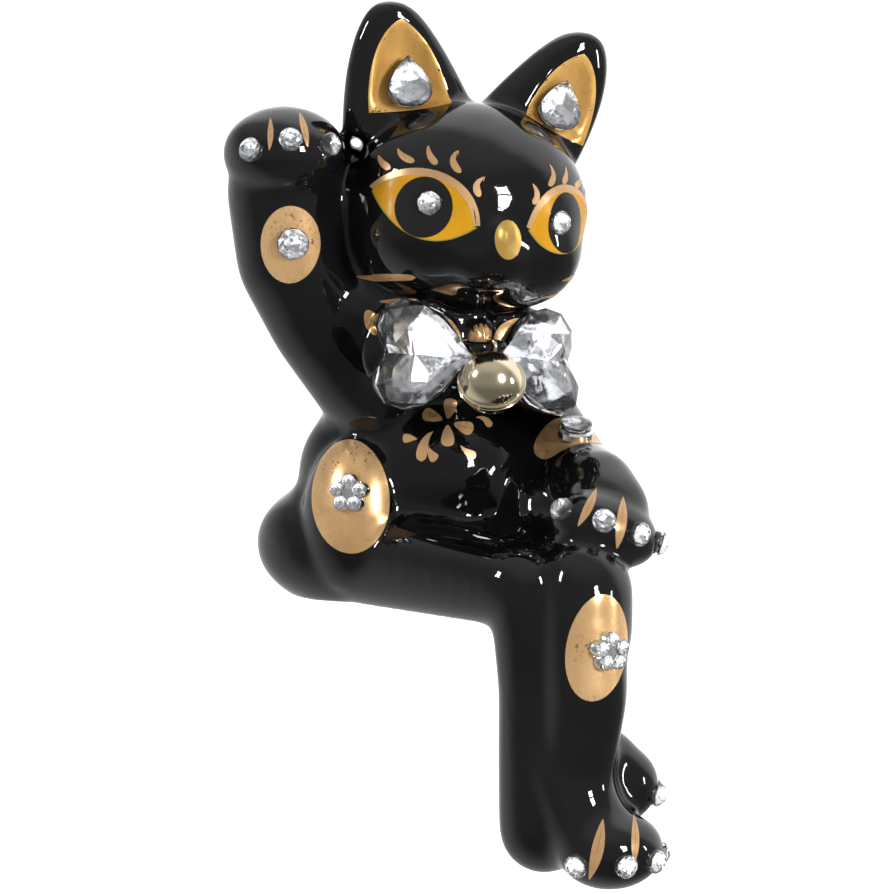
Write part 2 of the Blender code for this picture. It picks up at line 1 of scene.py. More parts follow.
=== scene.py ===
"""The looks of the glazed pottery beckoning cat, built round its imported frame.

The cat faces -Y and its own left is +X. Shapes are made in millimetres and scaled to Blender's metres.
The casting is modelled again here from the same lumps as the CAD, at the fineness of a glazed surface.
The paint is laid on that skin by casting each outline onto it.
"""

import math

import bmesh
import bpy
from mathutils import Euler, Matrix, Vector
from mathutils.bvhtree import BVHTree
from mathutils.interpolate import poly_3d_calc


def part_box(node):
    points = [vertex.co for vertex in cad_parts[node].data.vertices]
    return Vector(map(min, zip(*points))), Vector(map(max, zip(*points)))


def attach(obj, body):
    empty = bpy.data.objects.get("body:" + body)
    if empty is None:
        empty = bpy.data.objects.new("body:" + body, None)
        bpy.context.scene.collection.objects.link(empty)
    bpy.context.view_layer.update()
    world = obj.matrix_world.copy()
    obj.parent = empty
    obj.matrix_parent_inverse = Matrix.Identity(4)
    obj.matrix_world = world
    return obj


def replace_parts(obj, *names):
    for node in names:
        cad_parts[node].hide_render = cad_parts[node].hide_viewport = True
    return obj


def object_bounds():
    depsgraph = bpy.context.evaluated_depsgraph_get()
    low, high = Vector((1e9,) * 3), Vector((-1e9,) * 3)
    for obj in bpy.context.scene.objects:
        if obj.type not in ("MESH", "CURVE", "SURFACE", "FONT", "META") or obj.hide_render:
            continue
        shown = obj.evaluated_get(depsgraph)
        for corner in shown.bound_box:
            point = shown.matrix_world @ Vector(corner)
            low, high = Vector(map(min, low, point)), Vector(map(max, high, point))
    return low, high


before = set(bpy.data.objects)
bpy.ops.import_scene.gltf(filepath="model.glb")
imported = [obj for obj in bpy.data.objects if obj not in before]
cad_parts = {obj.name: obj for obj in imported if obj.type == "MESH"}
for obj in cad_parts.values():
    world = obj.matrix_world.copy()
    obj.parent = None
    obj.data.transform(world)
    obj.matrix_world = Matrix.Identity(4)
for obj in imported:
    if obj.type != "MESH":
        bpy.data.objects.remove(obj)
cad_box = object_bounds()

MM = 0.001
VENT_RADIUS = 3.5
VENT_PLACE = (0.0, 12.0)
SHELF_FRONT = -43.2
SHELF_ROUND = 6.0
HEAD_CENTRE = (1.0, -15.5, 78.5)
HEAD_TURN = -15.0
HEAD_TIP = 9.0
EAR_RISE = 26.6
EAR_TUCK = {"right": 5.0, "left": 8.8}
EAR_INNER = {"right": 6.8, "left": 8.8}
EAR_APEX = {"right": (18.8, 33.9), "left": (19.2, 32.8)}
GLUE_GAP = 0.3
HEART_SIZE = 22.2
HEART_WAIST = 0.45
HEART_PLUMP = 1.75
BELL_RADIUS = 6.0
BELL_WALL = 0.5
BELL_RIM = 0.6
BELL_CENTRE = (-4.2, -32.7, 45.4)
BELL_OUT = (-0.39, -0.62, 0.68)
EYE_RING = 1.5
EYE_WIRE = 0.35
STAPLE_HALF = 3.0

# Fineness of the glazed skin
CORE_VOXEL = 1.0
CORE_PASSES = 20
FINE_VOXEL = 0.75
FINE_PASSES = 8
EAR_LEVELS = 16
EAR_DOME = 0.6
EAR_THICK = (5.5, 8.0)

# Paint
PAINT_RISE = 0.07
PAINT_SINK = 0.15
PAINT_STEP = 0.8
PAINT_FILL = 0.97
CAST_FROM = 60.0
QUARTER = (-0.525, -0.84, 0.139)
IRIS_RISE = 0.12
LID_RISE = 0.15
PUPIL_RISE = 0.17
EAR_PAINT_RISE = 0.06
CLAW_BEND = (0.35, 0.0)
LASH_WIDTH = 1.5
PETAL_WIDTH = 2.9
EYE_OFF = 14.2
EYE_LOW = -1.0
EYE_YAW = 18.0
# How far each eye is moved outward and up, and how much narrower its inner part is
EYE_SHIFT = {"right": (0.0, 0.0, 1.0), "left": (1.0, 1.1, 0.87)}

# Crystals and bell
STAPLE_GLAZED = 1.05
STAPLE_BEND = 1.4
GLUE_DEPTH = 1.2
HEART_GLUE_DEPTH = 3.6
GLUE_SIDES = 32
# The bead of glue above its foot: shares of the crystal's back, and heights
GLUE_BEAD = ((1.05, -0.4), (1.04, -0.15), (0.98, -0.03))
# The foil: shares of the outline at its rim, in its well and at its bottom, and its lowest heights
FOIL_RIM = 0.95
FOIL_WELL = 0.45
FOIL_BOTTOM = 0.9
FOIL_FLOOR = 0.03
FOIL_TIP = 0.07
HEART_CULET = -2.6
HEART_TOP = 10.2
CLEFT_DEPTH = 2.0
CLEFT_HALF = 5.2
SLOT_HALF = 3.0
SLOT_WIDE = 0.5
SLOT_END = 0.95
SLOT_REACH = (2.5, 9.0)

# Camera and studio
CAMERA_AZIMUTH = -32.0
CAMERA_ELEVATION = 8.0
CAMERA_DISTANCE = 0.9
CAMERA_AIM = (0.0054, 0.0296)
FRAME_WIDTH = 0.1788
SENSOR = 36.0
FLOOR_DROP = 0.04
LAMP_AIM = (0.0, -0.02, 0.04)

# Walls of the light tent: direction, cosines where it starts and ends, strength before and after
WALLS = (
    ((0.0, 0.0, 1.0), -0.5, 0.1, 0.2, 0.38),
    ((0.0, 0.0, 1.0), 0.45, 0.95, 0.0, 0.35),
    ((0.72, 0.42, 0.55), 0.55, 0.8, 0.0, 1.1),
    ((-0.1, 0.8, -0.6), 0.3, 0.9, 0.0, 0.6),
)

# Softboxes: name, place, width, height and power
SOFTBOXES = (
    ("upper_key_pane", (0.15, -1.20, 0.49), 0.2, 0.14, 7.5),
    ("lower_key_pane", (0.16, -1.22, 0.31), 0.2, 0.14, 7.5),
    ("left_window", (-1.1, 0.3, 0.66), 0.12, 0.3, 7.0),
    ("right_window", (0.98, -0.85, 0.13), 0.08, 0.24, 2.8),
)


def rotation(turn):
    """A rotation matrix from three angles in degrees."""
    return Euler([math.radians(angle) for angle in turn]).to_matrix().to_4x4()


def head_frame():
    """The head's own frame: x to its left, -y forward, z up, origin at its centre."""
    centre = Matrix.Translation(HEAD_CENTRE)
    turn = Matrix.Rotation(math.radians(HEAD_TURN), 4, "Z")
    tip = Matrix.Rotation(math.radians(HEAD_TIP), 4, "Y")
    return centre @ turn @ tip


def link(name, mesh):
    obj = bpy.data.objects.new(name, mesh)
    bpy.context.scene.collection.objects.link(obj)
    return obj


def finished(name, lumps):
    """Ends a bmesh and returns it as mesh data."""
    data = bpy.data.meshes.new(name)
    lumps.to_mesh(data)
    lumps.free()
    return data


def bridge(lumps, rows):
    """Faces from each closed row of points to the next one."""
    made = []
    for lower, upper in zip(rows, rows[1:]):
        for i in range(len(lower)):
            j = (i + 1) % len(lower)
            made.append(lumps.faces.new((lower[i], lower[j], upper[j], upper[i])))
    return made


class Clay:
    """Closed lumps, in millimetres, that overlap and that a voxel remesh joins into one skin."""

    def __init__(self):
        self.lumps = bmesh.new()
        self.frame = Matrix.Identity(4)

    def ball(self, centre, radii, turn=(0.0, 0.0, 0.0)):
        size = Matrix.Diagonal([*radii, 1.0])
        place = self.frame @ Matrix.Translation(centre) @ rotation(turn) @ size
        bmesh.ops.create_icosphere(self.lumps, subdivisions=3, radius=1.0, matrix=place)

    def limb(self, *stations):
        """Round balls (x, y, z, radius) joined one to the next by cones."""
        for x, y, z, radius in stations:
            self.ball((x, y, z), (radius, radius, radius))
        for (*start, first), (*end, second) in zip(stations, stations[1:]):
            along = Vector(end) - Vector(start)
            upright = along.to_track_quat("Z", "Y").to_matrix().to_4x4()
            middle = Matrix.Translation((Vector(start) + Vector(end)) / 2)
            bmesh.ops.create_cone(
                self.lumps,
                cap_ends=True,
                segments=24,
                radius1=first,
                radius2=second,
                depth=along.length,
                matrix=self.frame @ middle @ upright,
            )

    def loft(self, rings):
        """A closed skin over rings of points, each ring a list of the same number of points."""
        made = [[self.lumps.verts.new(self.frame @ Vector(point)) for point in ring] for ring in rings]
        bridge(self.lumps, made)
        self.lumps.faces.new(reversed(made[0]))
        self.lumps.faces.new(made[-1])

    def add_mesh(self, mesh):
        """Takes in a mesh that is already in metres."""
        grown = mesh.copy()
        grown.transform(Matrix.Scale(1 / MM, 4))
        self.lumps.from_mesh(grown)
        bpy.data.meshes.remove(grown)

    def to_object(self, name):
        """Ends the modelling and hands the lumps over as an object in metres."""
        self.lumps.transform(Matrix.Scale(MM, 4))
        return link(name, finished(name, self.lumps))


def settle(obj):
    """Applies an object's modifiers and returns it."""
    graph = bpy.context.evaluated_depsgraph_get()
    mesh = bpy.data.meshes.new_from_object(obj.evaluated_get(graph))
    obj.modifiers.clear()
    obj.data = mesh
    return obj


def one_skin(obj, voxel, passes):
    """Joins an object's lumps into one skin and rounds it."""
    remesh = obj.modifiers.new("one_skin", "REMESH")
    remesh.mode = "VOXEL"
    remesh.voxel_size = voxel * MM
    smooth = obj.modifiers.new("round_off", "SMOOTH")
    smooth.factor = 0.5
    smooth.iterations = passes
    return settle(obj)


def cut(obj, cutter):
    """Takes the cutter away from the object with an exact Boolean, and removes the cutter."""
    boolean = obj.modifiers.new("cut", "BOOLEAN")
    boolean.operation = "DIFFERENCE"
    boolean.solver = "EXACT"
    boolean.object = cutter
    settle(obj)
    bpy.data.objects.remove(cutter, do_unlink=True)
    return obj


def model_trunk(clay):
    clay.ball((0.0, 4.0, 33.0), (17.5, 17.0, 25.0))
    clay.ball((0.0, -3.0, 24.0), (18.0, 17.0, 19.0))
    clay.ball((1.5, -6.0, 25.5), (16.5, 17.0, 16.5))
    clay.ball((0.0, -7.5, 52.0), (15.0, 13.5, 13.0))
    clay.ball((0.0, 11.0, 15.0), (21.0, 18.5, 16.0))
    clay.limb((0.0, 22.0, 8.0, 6.0), (2.0, 27.5, 13.0, 5.4))
    for side in (-1.0, 1.0):
        clay.ball((side * 11.0, 8.5, 10.5), (19.0, 19.5, 13.5))
        clay.ball((side * 8.0, 6.0, 24.0), (14.5, 14.5, 16.0))
        clay.ball((side * 12.0, -2.0, 43.0), (10.0, 11.0, 11.0))


def model_seat(clay):
    clay.ball((0.0, -10.0, 8.0), (17.0, 30.0, 9.5))
    clay.limb((-13.0, -4.0, 9.0, 10.0), (-6.0, -45.5, 7.5, 8.4))
    clay.limb((13.0, -4.0, 10.0, 10.0), (0.5, -57.0, 9.0, 8.4))


def model_legs(clay):
    clay.limb(
        (-5.0, -48.5, 6.0, 8.4),
        (-4.2, -49.7, -12.0, 8.0),
        (-4.2, -50.0, -28.0, 8.2),
        (-3.8, -50.7, -38.7, 8.8),
    )
    clay.limb((-3.8, -50.7, -38.2, 8.6), (11.8, -53.5, -31.0, 7.8))
    clay.limb(
        (0.0, -58.0, 7.0, 8.4),
        (-0.2, -59.2, -12.0, 8.2),
        (-1.2, -58.6, -24.0, 7.3),
    )
    clay.limb((3.2, -57.4, 8.0, 7.4), (3.2, -57.8, -1.0, 7.1))
    clay.limb((-2.4, -56.2, -27.0, 7.9), (-0.2, -60.5, -38.0, 8.0))
    clay.ball((2.4, -64.2, -41.2), (10.9, 9.4, 7.8))
    clay.ball((8.3, -52.5, -27.6), (7.6, 7.8, 8.2))


def model_head(clay):
    clay.frame = head_frame()
    clay.ball((0.0, 0.0, 0.0), (24.3, 22.0, 20.5))
    for side in (-1.0, 1.0):
        clay.ball((side * 9.0, -4.0, -6.0), (14.0, 16.0, 13.0))
    clay.ball((0.0, -13.5, -8.5), (11.0, 10.0, 8.0))
    clay.frame = Matrix.Identity(4)


def model_right_arm(clay):
    """The raised arm, fused to the side of the head."""
    clay.limb(
        (-12.0, 1.0, 42.0, 9.8),
        (-23.8, -0.5, 55.5, 9.6),
        (-30.3, -1.0, 68.0, 10.6),
        (-31.8, -1.0, 82.0, 11.2),
    )
    clay.ball((-20.5, 1.0, 69.0), (9.0, 9.0, 25.0))
    clay.limb((-20.0, -6.0, 60.0, 6.0), (-12.0, -12.0, 56.0, 7.0))


def model_left_arm(clay):
    """The lowered arm, with its paw on the crossed knees."""
    clay.limb(
        (15.0, -3.0, 44.0, 10.0),
        (22.0, -10.5, 35.5, 7.5),
        (16.6, -33.0, 26.6, 6.8),
        (12.0, -45.0, 25.0, 7.8),
        (10.8, -50.0, 21.2, 8.6),
    )
    clay.limb((14.0, -8.0, 30.0, 9.0), (11.0, -30.0, 19.0, 8.0))


def ear_ring(side, share, front, back):
    """One cross-section of an ear, share 0 at the skull and 1 at the tip."""
    tuck = EAR_TUCK["left" if side > 0 else "right"] * (1.0 - share) ** 1.5
    half = 15.7 * (1.0 - share) ** 0.64 + 2.8 - tuck / 2
    middle = Vector((side * (12.4 + 7.2 * share - tuck / 2), 4.0 - share, 10.0 + EAR_RISE * share))
    points = []
    for step in range(20):
        angle = 2 * math.pi * step / 20
        depth = front if math.sin(angle) < 0 else back
        thick = depth * (1.0 - 0.55 * share) + 0.8
        points.append(middle + Vector((half * math.cos(angle), thick * math.sin(angle), 0.0)))
    return points


def model_ears(clay):
    """Both ears, their levels closer together toward the tip, and the tip domed."""
    clay.frame = head_frame()
    for side in (-1.0, 1.0):
        shares = [1 - (1 - level / EAR_LEVELS) ** 2 for level in range(EAR_LEVELS + 1)]
        rings = [ear_ring(side, share, *EAR_THICK) for share in shares]
        tip = rings[-1]
        middle = sum(tip, Vector()) / len(tip)
        rings.append([middle.lerp(point, 0.5) + Vector((0.0, 0.0, EAR_DOME)) for point in tip])
        clay.loft(rings)
    clay.frame = Matrix.Identity(4)


def bezier(handles, count):
    """Points along a Bezier curve with any number of handles."""
    points = []
    for step in range(count):
        row = [Vector(handle) for handle in handles]
        while len(row) > 1:
            row = [a.lerp(b, step / (count - 1)) for a, b in zip(row, row[1:])]
        points.append(row[0])
    return points


def ear_arch(side):
    """The pointed arch of an ear's inside, as (x, z) in the head's frame."""
    word = "left" if side > 0 else "right"
    near = EAR_INNER[word]
    x, z = EAR_APEX[word]
    outer = bezier([(22.4, 15.0), (24.2, 22.5), (x + 4.4, z - 2.7), (x, z)], 16)
    inner = bezier([(x, z), (x - 4.8, z - 1.7), (near + 2.2, z - 6.9), (near, 19.3)], 16)
    sill = bezier([(near, 19.3), ((near + 22.4) / 2, 16.2), (22.4, 15.0)], 14)
    return [Vector((side * point.x, point.y)) for point in outer[:-1] + inner[:-1] + sill[:-1]]


def ear_scoop(side):
    """The bowl in front of an ear."""
    arch = ear_arch(side)
    if side > 0:
        arch = arch[::-1]
    centre = sum(arch, Vector((0.0, 0.0))) / len(arch)
    scoop = Clay()
    scoop.frame = head_frame()
    rings = []
    for share, depth in ((0.98, -7.0), (0.97, -1.6), (0.9, -0.1), (0.72, 1.0), (0.4, 1.7), (0.1, 1.9)):
        spots = [centre.lerp(point, share) for point in arch]
        rings.append([(spot.x, depth, spot.y) for spot in spots])
    scoop.loft(rings)
    return scoop.to_object("ear_scoop")


def model_face(clay):
    clay.frame = head_frame()
    clay.ball((0.0, -21.6, -5.0), (3.0, 2.4, 4.2))
    clay.frame = Matrix.Identity(4)


def raised_paw_frame():
    return Matrix.Translation((-32.2, -2.0, 89.1)) @ rotation((0.0, 0.0, -30.0))


def resting_paw_frame():
    return Matrix.Translation((7.0, -53.5, 18.5)) @ rotation((0.0, 20.0, 0.0))


def model_paws(clay):
    clay.frame = raised_paw_frame()
    clay.ball((0.0, -1.5, 0.0), (12.0, 12.7, 9.2))
    clay.frame = resting_paw_frame()
    clay.ball((0.8, 0.0, 0.0), (11.6, 9.2, 7.2))
    clay.ball((2.0, 3.5, 2.2), (10.4, 8.5, 7.2))
    clay.frame = Matrix.Identity(4)


def model_haunches(clay):
    for side in (-1.0, 1.0):
        clay.ball((side * 17.5, -3.0, 18.0), (9.5, 11.5, 16.0), (0.0, side * -8.0, 0.0))


def bow_frame():
    return Matrix.Translation((-0.4, -21.0, 48.3)) @ rotation((0.0, 5.0, 0.0))


def model_bow(clay):
    clay.frame = bow_frame()
    for side in (-1.0, 1.0):
        clay.ball((side * 13.3, 2.8, 1.4), (10.8, 3.6, 10.0), (0.0, 0.0, side * 8.0))
    clay.ball((0.5, 2.5, 5.0), (3.6, 4.4, 4.4))
    clay.frame = Matrix.Identity(4)


def shelf_corner():
    """The shelf that the cat sits on, with its top front edge rounded."""
    back = 60.0
    half = 60.0
    drop = 90.0
    outline = [(back, -drop), (back, 0.0)]
    for step in range(7):
        angle = math.radians(90.0 * step / 6)
        y = SHELF_FRONT + SHELF_ROUND * (1.0 - math.sin(angle))
        z = -SHELF_ROUND * (1.0 - math.cos(angle))
        outline.append((y, z))
    outline.append((SHELF_FRONT, -drop))
    shelf = Clay()
    shelf.loft([[(x, y, z) for y, z in outline] for x in (-half, half)])
    return shelf.to_object("shelf_corner")


def peg(name, place, radius, near, far, sides):
    """A round peg along z, which is cut away to leave a hole."""
    clay = Clay()
    clay.frame = place
    clay.loft(round_rings([(radius, near), (radius, far)], sides))
    return clay.to_object(name)


def seat_frame(point, normal, top=(0.0, 0.0, 1.0)):
    """A frame on the skin: z outward, y as near as it can be to the direction given as top."""
    out = normal.normalized()
    across = Vector(top).cross(out).normalized()
    up = out.cross(across)
    turn = Matrix((across, up, out)).transposed().to_4x4()
    return Matrix.Translation(point) @ turn


def circle(radius, sides):
    angles = [2 * math.pi * step / sides for step in range(sides)]
    return [(radius * math.cos(angle), radius * math.sin(angle)) for angle in angles]


def round_rings(levels, sides):
    """Rings of points for a turned piece, one for each (radius, height)."""
    return [[(x, y, height) for x, y in circle(radius, sides)] for radius, height in levels]


def heart_outline(size, points=28):
    """A plump heart with its point at -y, its width and height both about the size."""
    outline = []
    for step in range(points):
        t = 2 * math.pi * (step + 0.5) / points
        x = 16 * math.sin(t) ** 3
        y = 13 * math.cos(t) - 5 * math.cos(2 * t) - 2 * math.cos(3 * t) - math.cos(4 * t)
        below_waist = max(0.0, (12.0 - y) / 29 - HEART_WAIST)
        plump = 1 + HEART_PLUMP * below_waist
        outline.append((-x * plump * size / 33, (y + 2.5) * size / 31))
    return outline


def pear_outline(width, height, points=18):
    """A drop with its point at +y."""
    outline = []
    for step in range(points):
        t = 2 * math.pi * step / points
        y = -math.cos(t)
        x = math.sin(t) * math.sqrt((1 - y) / 2) ** 0.9 * 1.18
        outline.append((x * width / 2, y * height / 2))
    return outline


def petal_outline(reach, depth, points=30):
    """The edge of a five-petalled flower."""
    outline = []
    for step in range(points):
        t = 2 * math.pi * step / points
        radius = reach - depth * (1 - abs(math.cos(2.5 * t)))
        outline.append((-radius * math.sin(t), radius * math.cos(t)))
    return outline


def head_point(x, y, z):
    return head_frame() @ Vector((x, y, z))


def bell_frame():
    """The bell's own frame: z through the middle of its front cup, y up toward its eye."""
    out = Vector(BELL_OUT).normalized()
    return seat_frame(Vector(BELL_CENTRE), out)


def glazed_skin():
    """The casting's outer skin, with the seat and the back of the leg cut flat."""
    clay = Clay()
    for model in (model_trunk, model_seat, model_legs, model_head, model_right_arm, model_left_arm):
        model(clay)
    core = one_skin(clay.to_object("core"), CORE_VOXEL, CORE_PASSES)
    clay = Clay()
    clay.add_mesh(core.data)
    bpy.data.objects.remove(core, do_unlink=True)
    for model in (model_ears, model_paws, model_haunches, model_face, model_bow):
        model(clay)
    skin = clay.to_object("glazed_casting")
    one_skin(skin, FINE_VOXEL, FINE_PASSES)
    for side in (-1.0, 1.0):
        cut(skin, ear_scoop(side))
    cut(skin, shelf_corner())
    one_skin(skin, FINE_VOXEL, FINE_PASSES)
    cut(skin, peg("vent", Matrix.Translation((*VENT_PLACE, 0.0)), VENT_RADIUS, -5.0, 12.0, 18))
    skin.data.shade_smooth()
    skin.data.set_sharp_from_angle(angle=math.radians(60))
    return skin


class Skin:
    """The glazed surface, asked where a straight line from outside first meets it."""

    def __init__(self, body):
        self.mesh = body.data
        self.tree = BVHTree.FromObject(body, bpy.context.evaluated_depsgraph_get())

    def lay(self, start, way):
        """The point, in millimetres, and the smooth normal where the line meets the skin."""
        point, _, index, _ = self.tree.ray_cast(Vector(start) * MM, way)
        corners = [self.mesh.vertices[i] for i in self.mesh.polygons[index].vertices]
        weights = poly_3d_calc([corner.co for corner in corners], point)
        normal = Vector()
        for weight, corner in zip(weights, corners):
            normal += weight * corner.normal
        return point / MM, normal.normalized()


# Outlines


def oval(width, height, lean=0.0, egg=0.0, points=72):
    """An egg-shaped outline, turned by lean in degrees; egg above 0 makes its lower end the broader one."""
    turn = Matrix.Rotation(math.radians(lean), 2)
    outline = []
    for step in range(points):
        angle = 2 * math.pi * step / points
        x = width / 2 * math.cos(angle) * (1 - egg * math.sin(angle))
        outline.append(turn @ Vector((x, height / 2 * math.sin(angle))))
    return outline


def brush_mark(handles, width, shape, count=22):
    """The outline of a brush mark along a curve, and the middle that each of its points belongs to."""
    spine = bezier(handles, count)
    left = []
    right = []
    for i, point in enumerate(spine):
        ahead = spine[min(i + 1, count - 1)] - spine[max(i - 1, 0)]
        side = Vector((-ahead.y, ahead.x)).normalized() * width / 2 * shape(i / (count - 1))
        left.append(point + side)
        right.append(point - side)
    return left + right[::-1], spine + spine[::-1]


def drop_shape(t):
    """Pointed at the start, round at the end."""
    return t ** 0.9 * math.sqrt(max(0.0, 1 - t ** 7)) * 1.25 + 0.02


def petal_shape(t):
    """Egg-shaped, with its narrow end at the start."""
    return t ** 0.6 * math.sqrt(max(0.0, 1 - t ** 5)) * 1.2 + 0.02


def leaf_shape(t):
    """Pointed at both ends."""
    return math.sin(math.pi * min(max(t, 0.0), 1.0)) ** 0.8 + 0.02


def bar_shape(t):
    """A straight stroke with a pointed start and a round end."""
    return min(1.0, 3.0 * t) ** 0.7 * math.sqrt(max(0.0, 1 - t ** 12)) + 0.02


# Paint laid on the skin


def coat_rows(skin, plane, outline, middles, rise, swell):
    """Rows of (place, normal) from the outline inward, the first one sunk into the skin to close the edge."""
    inward = -plane.col[2].to_3d()
    widest = max((point - middle).length for point, middle in zip(outline, middles))
    steps = max(3, math.ceil(widest / PAINT_STEP))
    shares = [1.0, 1.0] + [1 - PAINT_FILL * step / steps for step in range(1, steps + 1)]
    rows = []
    for order, share in enumerate(shares):
        row = []
        for point, middle in zip(outline, middles):
            spot = middle.lerp(point, share)
            place, normal = skin.lay(plane @ Vector((spot.x, spot.y, CAST_FROM)), inward)
            lift = -PAINT_SINK if order == 0 else rise
            if swell and order > 0:
                lift += swell(spot - middle, 1 - share)
            row.append((place + normal * lift, normal))
        rows.append(row)
    return rows


def painted(skin, name, plane, outline, look, middles=None, rise=PAINT_RISE, swell=None):
    """A thin coat on the skin inside an outline, which is cast onto it along the plane's z axis.

    Each point of the outline belongs to a middle, toward which the coat is filled in. The swell, if there is
    one, is a function of a point's place and its share of the way in, and gives the coat's extra height.
    """
    if middles is None:
        centre = sum(outline, Vector((0.0, 0.0))) / len(outline)
        middles = [centre] * len(outline)
    if sum(a.x * b.y - b.x * a.y for a, b in zip(outline, outline[1:] + outline[:1])) < 0:
        outline = outline[::-1]
        middles = middles[::-1]
    rows = coat_rows(skin, plane, outline, middles, rise, swell)
    mesh = bmesh.new()
    made = [[mesh.verts.new(place * MM) for place, _ in row] for row in rows]
    bridge(mesh, made)
    middle = mesh.faces.new(made[-1])
    bmesh.ops.triangulate(mesh, faces=[middle])
    data = finished(name, mesh)
    data.shade_smooth()
    if swell is None:
        data.normals_split_custom_set_from_vertices([normal for row in rows for _, normal in row])
    data.materials.append(look)
    piece = link(name, data)
    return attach(piece, "root")


def brushed(skin, name, plane, handles, width, shape, look):
    """One brush mark of paint along a curve."""
    outline, middles = brush_mark(handles, width, shape)
    painted(skin, name, plane, outline, look, middles)


def quarter_plane(u, w):
    """The plane that faces the cat's front right quarter, u to the right and w up from the origin."""
    flat = seat_frame(Vector(), Vector(QUARTER))
    return flat @ Matrix.Translation((u, w, 0.0))


def face_plane(side, x, y, z, yaw):
    """A plane on the face, x to the right as seen from in front, turned outward by yaw in degrees."""
    turn = head_frame().to_3x3()
    angle = math.radians(yaw)
    out = turn @ Vector((side * math.sin(angle), -math.cos(angle), 0.09))
    return seat_frame(head_point(side * x, y, z), out, turn @ Vector((0.0, 0.0, 1.0)))


def mirrored(points, side, squeeze=1.0):
    """Points drawn for the right side of the face, mirrored for the left one.

    The squeeze narrows the part nearer the nose.
    """
    spots = []
    for x, y in points:
        x *= squeeze if x > 0 else 1.0
        spots.append(Vector((-side * x, y)))
    return spots


def paint_eye(skin, side, word, looks):
    """One eye: underline, iris, pupil and lid."""
    across, rise, squeeze = EYE_SHIFT[word]
    plane = face_plane(side, EYE_OFF + across, -18.0, EYE_LOW + rise, EYE_YAW)
    upper = bezier([(-10.9, 2.6), (-5.5, 9.6), (9.5, 8.6), (11.2, -2.3)], 40)
    lower = bezier([(11.2, -2.3), (4.5, -8.6), (-4.5, -8.6), (-10.9, 2.6)], 40)[1:-1]
    lid_edge = bezier([(-10.1, 2.1), (-5.2, 7.7), (8.2, 6.9), (9.9, -2.6)], 40)
    pupil = [point + Vector((0.05, -0.35)) for point in oval(11.0, 11.7)]
    coats = [
        ("underline", lid_edge + lower, "olive", PAINT_RISE),
        ("iris", lid_edge + [point * 0.965 for point in lower], "amber", IRIS_RISE),
        ("pupil", pupil, "pupil", PUPIL_RISE),
    ]
    for part, outline, look, lift in coats:
        outline = mirrored(outline, side, squeeze)
        painted(skin, f"{word}_eye_{part}", plane, outline, looks[look], rise=lift)
    outline = mirrored(upper + lid_edge[::-1], side, squeeze)
    middles = [above.lerp(below, 0.5) for above, below in zip(upper, lid_edge)]
    middles = mirrored(middles + middles[::-1], side, squeeze)
    painted(skin, f"{word}_eye_lid", plane, outline, looks["tan"], middles, rise=LID_RISE)
    paint_lashes(skin, side, word, plane, squeeze, looks)


def paint_lashes(skin, side, word, plane, squeeze, looks):
    """Five curled brush marks over an eye; the left ones are a little lower."""
    lashes = [
        ((-10.1, 8.9), (-9.6, 7.2), (-7.4, 6.3)),
        ((-6.6, 10.5), (-5.9, 8.6), (-3.0, 8.2)),
        ((-0.9, 11.7), (-0.7, 9.4), (1.4, 8.2)),
        ((5.0, 11.5), (2.9, 9.2), (6.1, 7.2)),
        ((10.7, 7.1), (8.2, 5.3), (10.4, 3.2)),
    ]
    drop = 1.0 if side > 0 else 0.0
    for count, handles in enumerate(lashes, 1):
        lowered = [(x, y - drop) for x, y in handles]
        handles = mirrored(lowered, side, squeeze)
        brushed(skin, f"{word}_lash_{count}", plane, handles, LASH_WIDTH, petal_shape, looks["tan"])


def paint_whiskers(skin, looks):
    """Two brush marks on each cheek."""
    right = quarter_plane(0.0, 0.0)
    left = face_plane(1.0, 17.0, -12.0, -11.5, 55.0)
    marks = [
        ("right_whisker_1", right, ((-12.4, 61.8), (-7.4, 61.1), (-0.8, 60.8)), 1.15, bar_shape),
        ("right_whisker_2", right, ((-7.9, 56.8), (-4.2, 56.6), (-0.4, 57.1)), 1.0, leaf_shape),
        ("left_whisker_1", left, ((-2.6, -0.2), (0.5, 0.7), (4.4, 0.8)), 1.6, drop_shape),
        ("left_whisker_2", left, ((-2.4, -3.6), (0.0, -3.0), (2.6, -3.2)), 1.2, drop_shape),
    ]
    for mark in marks:
        brushed(skin, *mark, looks["tan"])


def paint_ear(skin, side, word, looks):
    """The gold inside of an ear."""
    turn = head_frame().to_3x3()
    forward = turn @ Vector((0.0, -1.0, 0.0))
    plane = seat_frame(head_point(0.0, 0.0, 0.0), forward, turn @ Vector((0.0, 0.0, 1.0)))
    painted(skin, f"{word}_ear_lining", plane, ear_arch(side), looks["pale_gold"], rise=EAR_PAINT_RISE)


def paint_ovals(skin, looks):
    """The gold ovals on the arms, haunches and shin."""
    ovals = [
        ("right_forearm_oval", (-24.9, 67.3), oval(11.4, 14.6, -4.0, -0.04)),
        ("right_haunch_oval", (-13.6, 19.3), oval(15.2, 22.4, 3.0, 0.05)),
        ("left_shin_oval", (33.2, -9.9), oval(11.6, 20.2, -9.0, 0.04)),
    ]
    for name, (u, w), outline in ovals:
        painted(skin, name, quarter_plane(u, w), outline, looks["gold"])
    pad = seat_frame(Vector((15.4, -31.6, 36.2)), Vector((-0.1, -0.55, 0.83)), (0.0, 1.0, 0.0))
    painted(skin, "left_arm_oval", pad, oval(12.4, 12.0), looks["gold"])
    far = seat_frame(Vector((20.0, -8.0, 20.0)), Vector((0.8, -0.58, 0.1)))
    painted(skin, "left_haunch_oval", far, oval(14.6, 21.0), looks["gold"])


